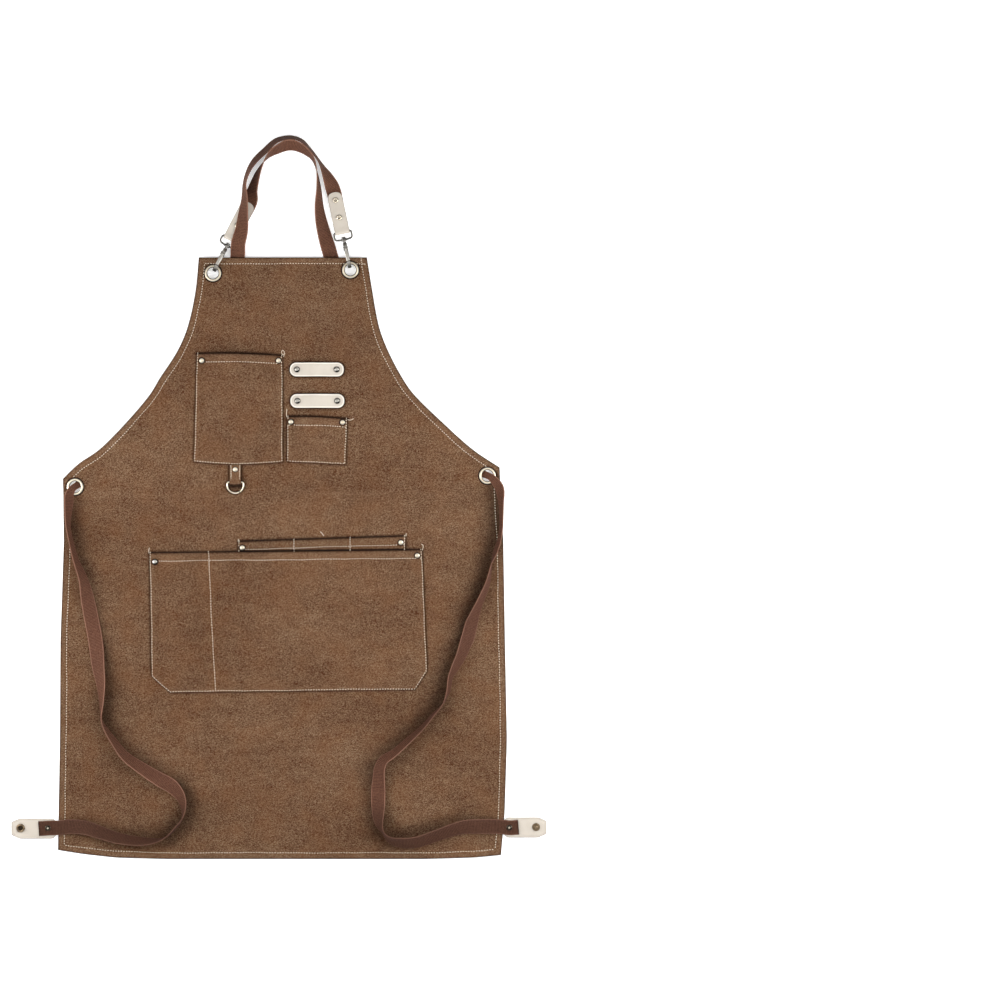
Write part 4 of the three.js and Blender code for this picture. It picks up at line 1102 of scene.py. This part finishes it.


# rivets, with marks from the back to the middle of the front: painted shade, dark on the shank and round the
# rim of each cap
rivetLook = {"front": 3.9, "rise": 1.6, "back": 3.4, "shank": 1.6, "sides": 28,
             "dark": [0.4] * 4 + [0.8, 1, 1, 1, 1, 1, 0.95, 0.85, 0.55, 0.15],
             "ring": [0.8, 0.5, 0.2, 0, 0, 0.3, 0.85, 0.3, 0],
             "eye": [0.93, 0.93, 0.93, 0.96, 0.98, 1, 1, 0.35, 0]}


def rivetShape(low, seat, kind, lowShadeStrength):
    r, b, shank, sides = (rivetLook[key] for key in ("front", "back", "shank", "sides"))
    cap = [(r, 0.0), (r, 0.45), (r - 0.2, 0.75), (r - 0.55, 0.9)]
    if kind == "dome":
        rise = rivetLook["rise"] - 0.85
        cap += [(r * math.cos(a) * 0.84, 0.85 + rise * math.sin(a))
                for a in np.linspace(0.1, math.pi / 2, 7)]
    else:
        cap += [(r - 0.9, 1.3), (r - 1.4, 1.5), (r - 1.9, 1.3), (r - 2.3, 0.8), (r - 3, 0.7), (0, 0.72)]
    base = [(0, -0.8), (b * 0.5, -0.76), (b * 0.85, -0.55), (b, -0.25), (b, 0.0), (shank, 0.0)]
    profile = [(p, low + q) for p, q in base] + [(shank, seat)] + [(p, seat + q) for p, q in cap]
    mark = rivetLook["dark"] + [0.0] * (len(cap) - 7)
    if kind != "dome":  # a dark groove round a pale middle, or dark all but the middle
        mark[-9:] = rivetLook[kind]
    mark = np.repeat(mark, sides)
    if kind == "dome":  # painted shade on the lower side
        angles = np.tile(turnAngles(sides), len(profile))
        away, height = np.repeat(np.array(profile), sides, 0).T
        lowSide = smoothStep(np.cos(angles + 1.25), 0.1, 0.8) * smoothStep(away, 0.9, 2.4) * (height > seat)
        mark = np.maximum(mark, lowShadeStrength * lowSide)
    return lathe(profile, sides), mark


def addRivet(node, x, y, low, seat, material, kind="dome", hook=None):
    shape, mark = rivetShape(low, seat, kind, 1.0 if material is steel else 0.6)
    shape = moved(shape, (x, y, 0))
    if hook:
        shape = atTab(shape, hook)
    return makePiece(node + "_metal", shape, material, [node], sharp=50, marks={"edge": mark})


def clothRivet(node, x, y, seat, material):
    return addRivet(node, x, y, float(backHeight(y)) - cloth["gap"], seat, material)


for name, pocket in pockets.items():
    for side, (x, y) in zip(("left", "right"), pocket["rivets"]):
        node = f"{name}_rivet_{side}"
        seat = float(frontHeight(y)) + 2 * cloth["gap"] + cloth["ply"] + pocketCut["hemRise"]
        clothRivet(node, x, y, seat, steel if node == "lower_pocket_rivet_left" else brass)
for name, (x, y) in toolLoops.items():
    for side, offset in (("left", -loopLook["rivet"]), ("right", loopLook["rivet"])):
        seat = float(frontHeight(y)) + 2 * cloth["gap"] + loopLook["thick"]
        clothRivet(f"{name}_rivet_{side}", x + offset, y, seat, steel)


# eyelets: rolled front flange, flat washer behind

def eyeletShape(y):
    top, low = float(frontHeight(y)) + cloth["gap"], float(backHeight(y)) - cloth["gap"]
    bore, barrel, flange, washer = (eyeletLook[k] for k in ("bore", "barrel", "flange", "washer"))
    middle, half = (flange + bore) / 2, (flange - bore) / 2
    profile = [(barrel, top), (flange - 0.5, top), (flange, top + 0.12), (flange - 0.1, top + 0.45)]
    profile += [(middle + half * math.cos(a), top + 0.3 + 0.75 * math.sin(a))
                for a in np.linspace(0.5, 2.7, 9)]
    profile += [(bore + 0.1, top + 0.4), (bore, top), (bore, low), (bore + 0.1, low - 0.4)]
    profile += [(bore + 0.6, low - 0.55), (washer - 0.6, low - 0.5), (washer, low - 0.3), (washer, low)]
    return lathe(profile + [(barrel, low)], eyeletLook["sides"], True)


for node, (x, y) in eyeletSpots.items():
    # painted shade: dark at the flange's outer and inner edges and down the bore
    mark = np.repeat(eyeletLook["mark"], eyeletLook["sides"])
    makePiece(node + "_metal", moved(eyeletShape(y), (x, y, 0)), brass, [node], sharp=60,
              marks={"edge": mark})
print("rivets and eyelets done")


# canvas tab and its ring
tabBase = float(frontHeight(tabLook["barY"])) + cloth["gap"]
barHeight = tabBase + tabLook["ply"] + cloth["gap"] + tabLook["wire"]


def tabDrop(y):
    # how much of the rise over the bar is left at y
    return 1 - float(smoothStep(y, tabLook["barY"], tabLook["flatTo"]))


def ringTabShape():
    # middle line of the folded ply, from under the rivet round the bar and back over
    ply, barY, top = tabLook["ply"], tabLook["barY"], tabLook["top"]
    radius = tabLook["wire"] + cloth["gap"] + ply / 2
    upper = tabBase + 1.5 * ply + 0.06
    line = [(y, tabBase + ply / 2) for y in np.linspace(top, barY + 1, 14)]
    line += [(barY + radius * math.cos(a), barHeight + radius * math.sin(a))
             for a in np.radians(np.linspace(-90, -270, 16))]
    line += [(y, upper + (barHeight + radius - upper) * tabDrop(y)) for y in np.linspace(barY + 1.2, top, 18)]
    half = tabLook["width"] / 2
    rim = np.array([0, 0.2, 0.5, 1.0, 1.5, 2.0, 2.5, 4.0, 6.0])
    across = np.concatenate([rim - half, [0], half - rim[::-1]])
    d = half - np.abs(across)
    thick = ply / 2 - 0.5 * rounded(d, 0.8) - groove(d, 1.9, 0.12, 0.4)
    across, thick, edge = (np.tile(row, (len(line), 1)) for row in (across, thick, 0.6 * np.exp(-d / 0.5)))
    return foldedPly(np.array(line), across, thick), np.tile(edge.ravel(), 2)


def ringShape():
    radius, drop, corner = ringLook["radius"], ringLook["drop"], ringLook["corner"]
    first, last = ([(radius * math.cos(a), radius * math.sin(a) - drop) for a in np.radians(arc)]
                   for arc in (np.linspace(-58, -4, 16), np.linspace(184, 298, 30)))
    way = first + corner + [(0, 0)] + [(-x, y) for x, y in corner[::-1]] + last
    path = np.column_stack([np.array(way), np.zeros(len(way))])
    return sweep(path, circleSection(tabLook["wire"], ringLook["sides"]))


shape, edge = ringTabShape()
ringTab = makePiece("ring_tab_cloth", moved(shape, (tabLook["x"], 0, 0)), canvas, ["ring_tab"],
                    sharp=70, marks={"edge": edge, "fade": np.full(len(edge), 0.4)})
tabLine = [(y, tabBase + 2 * tabLook["ply"] + 0.1 + 2.2 * tabDrop(y))
           for y in np.linspace(tabLook["barY"] + 1.5, tabLook["top"] - 0.6, 24)]
rows = [stitches([(tabLook["x"] + dx, y, z) for y, z in tabLine], 2.4, 1.9)
        for dx in (-tabLook["stitch"], tabLook["stitch"])]
tabThread = stitchPiece("ring_tab_stitches", rows)
seat = tabBase + 2 * tabLook["ply"] + cloth["gap"]
clothRivet("ring_tab_rivet", tabLook["x"], tabLook["rivetY"], seat, brass)
shape = moved(ringShape(), (tabLook["x"], tabLook["barY"], barHeight), turnX=ringLook["tilt"])
makePiece("tool_ring_metal", shape, brass, ["tool_ring"], "ring", sharp=50, tarnishAndSideShade=True)
print("ring done")


# hooks, swivels and folded leather tabs
hooks = {"left": {"at": (-89.3, 303.5, 0), "turn": math.radians(-27.3)},
         "right": {"at": (97.1, 307.9, 0), "turn": math.radians(12.1)}}
hookLook = {
    "width": 5.0, "loopHeight": 6.0, "barY": 53.0, "wire": 1.25, "tilt": math.radians(2.6),
    "frame": [(4.4, 0.3), (33, 0.3), (38, 3.4), (38, 8.6), (33, 12.7), (27.5, 12.7), (27.5, 5.5), (26, 4.0),
              (8, 4.0), (6.4, 5.6), (6.4, 12.6), (7.8, 14.0), (12, 14.0), (12, 17), (5.2, 17), (2.8, 14.6),
              (2.8, 1.9)],
    "ear": [(27.3, 11), (32, 11), (32, 15.4), (30.2, 17.2), (28.8, 17.2), (27.3, 15.7)],
    "blade": [(12.4, 14.1), (26.4, 14.1), (26.4, 17), (12.4, 17)],
    "tongue": [(25, 14), (29, 13.6), (31, 14.4), (31, 16.2), (29.8, 17), (25, 17)],
    "pin": [(0, -2.7), (0.8, -2.7), (0.8, 2.7), (0, 2.7)], "pinAt": (29.5, 15.2),
    "stem": [(0, 36.5), (1.9, 36.5), (1.9, 44.5), (2.6, 44.6), (3.0, 44.9), (2.9, 45.4), (2.2, 45.9),
             (0, 46.1)],
    "boss": [(2.1, 39.8), (3.2, 39.8), (3.6, 40.2), (3.7, 42), (3.6, 43.6), (3.2, 44), (2.1, 44)],
    "loop": [(-12, 53), (-12, 43.2), (-5.5, 41.9), (5.5, 41.9), (12, 43.2), (12, 53)]}
hookTab = {"length": 54.5, "half": 10.0, "ply": 1.6, "slot": 1.0, "round": 8.0, "rivets": (19.5, 43.7),
           "flat": (0.020, 0.116)}


def alongY(profile, height):
    # turned about an axis that runs along y
    spots, faces = lathe([(r, -y) for r, y in profile], 20)
    return np.column_stack([spots[:, 0], -spots[:, 2], spots[:, 1] + height]), faces


def hookShape():
    spots, faces = lathe(hookLook["pin"], 14)
    y, z = hookLook["pinAt"]
    pin = (np.column_stack([spots[:, 2], spots[:, 0] + y, spots[:, 1] + z]), faces)
    ears = [barSolid(softened(hookLook["ear"], 0.8), 1.2, 0.3, at) for at in (-2.5, 2.5)]
    bar = barSolid(softened(hookLook["frame"], 1.3), hookLook["width"], 0.75)
    return joined([bar, *ears, pin, alongY(hookLook["stem"], hookLook["loopHeight"])])


def gateShape():
    return joined([barSolid(softened(hookLook["blade"], 0.7), 4.9, 0.7),
                   barSolid(softened(hookLook["tongue"], 0.6), 3.0, 0.3)])


def swivelShape():
    # rounded frame, its lower side drawn in to the swivel
    ring = softened(hookLook["loop"], 3.4, 7)
    path = np.column_stack([ring, np.full(len(ring), hookLook["loopHeight"])])
    return joined([sweep(path, circleSection(hookLook["wire"], 14), True),
                   alongY(hookLook["boss"], hookLook["loopHeight"])])


def hookTabShape():
    # middle line of the ply: over the top, round the bar, back underneath
    ply, length, bend = hookTab["ply"], hookTab["length"], hookTab["round"]
    radius = hookLook["wire"] + 0.35 + ply / 2
    level = hookTab["slot"] + ply / 2
    straight = [(y, level + (radius - level) * (1 - float(smoothStep(y, 0, 7))))
                for y in np.linspace(length, 0.6, 50)]
    arc = [(radius * math.cos(a), radius * math.sin(a)) for a in np.radians(np.linspace(92, 268, 18))]
    line = np.array(straight + arc + [(y, -z) for y, z in straight[::-1]])
    fromEnd = np.clip(length - line[:, 0], 0.05, bend)
    half = (hookTab["half"] - bend + np.sqrt(bend ** 2 - (bend - fromEnd) ** 2))[:, None]
    shares = np.concatenate([[-1, -0.985, -0.95, -0.9], np.linspace(-0.8, 0.8, 9), [0.9, 0.95, 0.985, 1]])
    d = half * (1 - np.abs(shares))
    shape = foldedPly(line, half * shares, ply / 2 - 0.6 * rounded(d, 0.6))
    return shape, np.tile(np.exp(-d / 0.35).ravel(), 2)


def atHook(shape, hook):
    return moved(shape, hook["at"], hook["turn"])


def atTab(shape, hook):
    bar = (0, hookLook["barY"], hookLook["loopHeight"])
    return atHook(moved(shape, bar, turnX=-hookLook["tilt"]), hook)


for side, hook in hooks.items():
    fittings = ((f"hook_{side}", hookShape(), "apron"), (f"hook_gate_{side}", gateShape(), f"gate_{side}"),
                (f"swivel_loop_{side}", swivelShape(), "apron"))
    for node, shape, body in fittings:
        away = np.hypot(shape[0][:, 0], shape[0][:, 1])
        dark = 0.9 * (1 - smoothStep(away, 5, 11))  # painted shade on the metal inside the eyelet
        # the swivel wire darker all over
        if node.startswith("swivel"):
            dark = np.maximum(dark, 0.75)
        makePiece(node + "_metal", atHook(shape, hook), steel, [node], body, sharp=42,
                  marks={"edge": dark}, tarnishAndSideShade=True)
    shape, edge = hookTabShape()
    node = f"hook_tab_{side}"
    leatherPiece(node, atTab(shape, hook), {"edge": edge})
    seat = hookTab["slot"] + hookTab["ply"] + cloth["gap"]
    for end, along in zip(("lower", "upper"), hookTab["rivets"]):
        addRivet(f"{node}_rivet_{end}", 0, along, -seat, seat, brass, "ring", hook)
print("hooks done")


# webbing of the straps: shares of its width, and of its thickness there
webbingSection = {"spread": np.array([-0.485, -0.45, -0.36, -0.18, 0, 0.18, 0.36, 0.45, 0.485]),
                  "puff": np.array([0.3, 0.47, 0.5, 0.47, 0.49, 0.47, 0.5, 0.47, 0.3])}


def insideTab(hook):
    (x, y, _), turn, tilt = hook["at"], hook["turn"], hookLook["tilt"]
    rows = []
    for along in strapLook["inTab"]:
        reach = hookLook["barY"] + along * math.cos(tilt)
        z = hookLook["loopHeight"] - along * math.sin(tilt) - 1.0
        rows.append((x - reach * math.sin(turn), y + reach * math.cos(turn), z, 0, strapLook["width"]))
    return rows


def centripetal(points, perSpan):
    ends = np.vstack([2 * points[0] - points[1], points, 2 * points[-1] - points[-2]])
    path = []
    for i in range(len(points) - 1):
        p0, p1, p2, p3 = ends[i:i + 4]
        a, b, c = (math.sqrt(np.linalg.norm(q - p)) for p, q in ((p0, p1), (p1, p2), (p2, p3)))
        t1 = ((p1 - p0) / a - (p2 - p0) / (a + b) + (p2 - p1) / b) * b
        t2 = ((p2 - p1) / b - (p3 - p1) / (b + c) + (p3 - p2) / c) * b
        for t in np.linspace(0, 1, perSpan, endpoint=False):
            path.append(p1 + t1 * t + (3 * (p2 - p1) - 2 * t1 - t2) * t * t
                        + (2 * (p1 - p2) + t1 + t2) * t ** 3)
    return np.array(path + [points[-1]])


def eased(values, reach):
    weights = np.exp(-0.5 * (np.arange(-2 * reach, 2 * reach + 1) / (reach * 0.7)) ** 2)
    padded = np.concatenate([np.full(2 * reach, values[0]), values, np.full(2 * reach, values[-1])])
    return np.convolve(padded, weights / weights.sum(), "valid")


def strapShape(rows, shades):
    rows = np.array(rows, float)
    per = strapLook["perSpan"]
    rows[:, 2] = np.where(rows[:, 2] == onCloth, frontHeight(rows[:, 1]), rows[:, 2])
    plan = centripetal(rows[:, :2], per)
    marks, knots = np.arange(len(plan)) / per, np.arange(len(rows))
    rest, roll, width = (eased(np.interp(marks, knots, rows[:, k]), 3) for k in (2, 3, 4))
    roll = np.radians(roll)
    thick = strapLook["thick"] * (strapLook["width"] / width) ** 0.7
    z = rest + cloth["gap"] + width / 2 * np.abs(np.sin(roll)) + thick / 2 * np.abs(np.cos(roll))
    centre = np.column_stack([plan, eased(z, 2)])
    ahead = unit(np.gradient(centre, axis=0))
    left = unit(np.column_stack([leftOf(ahead), np.zeros(len(ahead))]))
    up = np.cross(ahead, left)
    across = left * np.cos(roll)[:, None] + up * np.sin(roll)[:, None]
    face = np.cross(ahead, across)
    spread, puff = webbingSection["spread"], webbingSection["puff"]
    spread = np.concatenate([[-0.5], spread, [0.5], spread[::-1]])
    puff = np.concatenate([[0], puff, [0], -puff[::-1]])
    rings = (centre[:, None] + across[:, None] * (spread * width[:, None])[..., None]
             + face[:, None] * (puff * thick[:, None])[..., None])
    run = runLength(centre)
    runs = np.stack(np.broadcast_arrays(run[:, None] * mm, spread[None, :]), -1).reshape(-1, 2)
    cut = 0.9 * np.exp(-np.minimum(run, run[-1] - run) / 0.9)
    # painted shade along stretches of the strap
    for start, end, amount in shades:
        cut += amount * smoothStep(plan[:, 1], start, end)
    cut = np.repeat(np.clip(cut, 0, 1), len(spread))
    return ringFaces(rings), runs, cut, run[-1]


for name, strap in straps.items():
    rows = insideTab(hooks[strap["hook"]]) + strapRows(strap)
    shape, runs, cut, length = strapShape(rows, strap["shades"])
    piece = makePiece(name + "_webbing", shape, webbing, [name], sharp=60, marks={"edge": cut},
                      runs=runs)
    print(name, round(length), "mm")


# leather tie ends with snaps; a cap is given from its seat on the leather up
snapLook = {"half": 13.5, "thick": 2.0, "line": 2.2, "sides": 32, "width": 0.027,
            "base": [(0, 0.1), (4.2, 0.1), (4.8, 0.4), (5, 0.9), (2, 0.9)]}
snapTabs = {
    "left": {"from": -363.0, "to": -302.7, "y": -450.0, "free": -1, "rivet": (-313.6, -449.3),
             "snap": (-350.6, -449.3), "node": "snap_socket", "mark": [0.3] * 12 + [0.9] * 4,
             "cap": [(2, 0), (5.6, 0), (5.8, 0.4), (5.8, 1.2), (5.4, 1.8), (4.7, 2.15), (3.9, 2.2),
                     (3.2, 1.9), (2.8, 1.2), (2.6, 0.7), (0, 0.7)]},
    "right": {"from": 305.6, "to": 363.0, "y": -448.5, "free": 1, "rivet": (312.8, -448.6),
              "snap": (349.0, -448.0), "node": "snap_stud", "mark": [0.3] * 10 + [0.6] * 2 + [0.1] * 4,
              "cap": [(2, 0), (5.2, 0), (5.4, 0.3), (5.2, 0.8), (3.4, 1.0), (2.2, 1.0), (2.2, 1.7),
                      (2.4, 2.3), (2.1, 2.9), (1.4, 3.2), (0, 3.3)]},
}
snapSeat = snapTabTop + cloth["gap"]


def snapTabLoop(tab):
    # blunt point at the free end, small cut corners at the other
    half, width, free = (tab["to"] - tab["from"]) / 2, snapLook["half"], tab["free"]
    upper = [(half, width - 4.8), (half - 10.5, width), (4 - half, width), (-half, width - 3.5)]
    corners = [(free * x, y) for x, y in upper] + [(free * x, -y) for x, y in upper[::-1]]
    corners = corners[-2:] + corners[:-2]
    loop = softened(corners[::free], 0.8, 4)
    return alongPath(np.vstack([loop, loop[:1]]), 1.6)[:-1]


def snapTabHeight(x, y):
    return np.full(len(x), snapTabTop - snapLook["thick"])


for side, tab in snapTabs.items():
    middle = ((tab["from"] + tab["to"]) / 2, tab["y"])
    shape, marks = leatherStrip(snapTabLoop(tab), middle, snapTabHeight, snapLook["thick"],
                                snapLook["line"], (), 1.0)
    node = f"snap_tab_{side}"
    leatherPiece(node, shape, {"edge": marks["edge"]})
    addRivet(node + "_rivet", *tab["rivet"], 0.9, snapTabTop + 2.0, brass, "eye")
    profile = snapLook["base"] + [(r, snapSeat + z) for r, z in tab["cap"]]
    shape = moved(lathe(profile, snapLook["sides"]), (*tab["snap"], 0))
    # the mark: darker all over, with painted shade in the socket's hollow and round the foot of the stud's
    # post
    makePiece(tab["node"] + "_metal", shape, bronze, [tab["node"]], sharp=50,
              marks={"edge": np.repeat(tab["mark"], snapLook["sides"])})

# blank label behind the right side
labelCut = {"size": (20.0, 23.5), "round": 0.4, "at": (282.5, -63.25), "rest": 0.6, "thick": 0.62}
labelLoop = roundRect(*labelCut["size"], labelCut["round"], 1.5)
labelPoints, labelFaces = trimmedPatch(labelLoop, [0.3, 1.0], 2.2)
labelLow = labelCut["rest"] + 0.05 * wave(labelPoints[:, 0], labelPoints[:, 1], 9, 1.0)
shape = patchSolid(labelPoints + np.array(labelCut["at"]), labelFaces, labelLow + labelCut["thick"], labelLow)
label = makePiece("label_cloth", shape, labelCloth, ["label"], sharp=70)
print("tie ends and label done")


# stage: pale floor, soft light from both sides and from below the picture
floorLook = {"half": 14, "z": -0.0002, "colour": (0.86, 0.86, 0.86, 1.0), "glow": 0.46}
floorMaterial, _, floorShader = newMaterial("paleFloor", 0.9)
floorShader.inputs["Base Color"].default_value = floorLook["colour"]
floorShader.inputs["Emission Color"].default_value = (1.0, 1.0, 1.0, 1.0)
floorShader.inputs["Emission Strength"].default_value = floorLook["glow"]
floorMesh = bpy.data.meshes.new("floor")
floorCorners = [(x * floorLook["half"], y * floorLook["half"], floorLook["z"])
                for x, y in ((-1, -1), (1, -1), (1, 1), (-1, 1))]
floorMesh.from_pydata(floorCorners, [], [(0, 1, 2, 3)])
floorMesh.materials.append(floorMaterial)
floor = newObject("floor", floorMesh)

lights = {"leftSoft": {"at": (-1.1, -0.02, 0.7), "size": (0.35, 1.5), "power": 22.3},
          "rightSoft": {"at": (1.12, -0.02, 0.7), "size": (0.35, 1.5), "power": 22.3},
          "lowSoft": {"at": (0.1, -2.4, 1.6), "size": (1.4, 0.8), "power": 34.0},
          "backSoft": {"at": (0.2, 3.0, 2.4), "size": (1.6, 1.2), "power": 12.0}}
for name, light in lights.items():
    data = bpy.data.lights.new(name, "AREA")
    data.energy = light["power"]
    data.shape = "RECTANGLE"
    data.size, data.size_y = light["size"]
    lamp = newObject(name, data)
    lamp.location = light["at"]
    aim = Vector((0, light["at"][1] / 4, 0)) - lamp.location
    lamp.rotation_euler = aim.to_track_quat("-Z", "Y").to_euler()

# brighter towards the top of the sky
world = bpy.data.worlds.new("studio")
world.use_nodes = True
sky = world.node_tree
direction = addNode(sky, "ShaderNodeTexCoord").outputs["Generated"]
heightAbove = addNode(sky, "ShaderNodeSeparateXYZ", {0: direction}).outputs[2]
above = calc(sky, "MAXIMUM", heightAbove, 0.0)
strength = calc(sky, "MULTIPLY_ADD", calc(sky, "POWER", above, 2.0), 0.18, 0.04)
strength = calc(sky, "MULTIPLY_ADD", calc(sky, "POWER", above, 30.0), 0.9, strength)
sky.nodes["Background"].inputs["Color"].default_value = (1.0, 0.99, 0.97, 1.0)
sky.links.new(strength, sky.nodes["Background"].inputs["Strength"])
bpy.context.scene.world = world

# camera straight above, as in the photo
cameraData = bpy.data.cameras.new("photoCamera")
cameraData.lens = 200.0
cameraData.sensor_width = 36.0
cameraData.clip_end = 200.0
cameraData.dof.use_dof = False
camera = newObject("photoCamera", cameraData)
camera.location = (0.3007, -0.0048, 7.55)
bpy.context.scene.camera = camera
bpy.context.scene.view_settings.view_transform = "Standard"
print("stage ready")
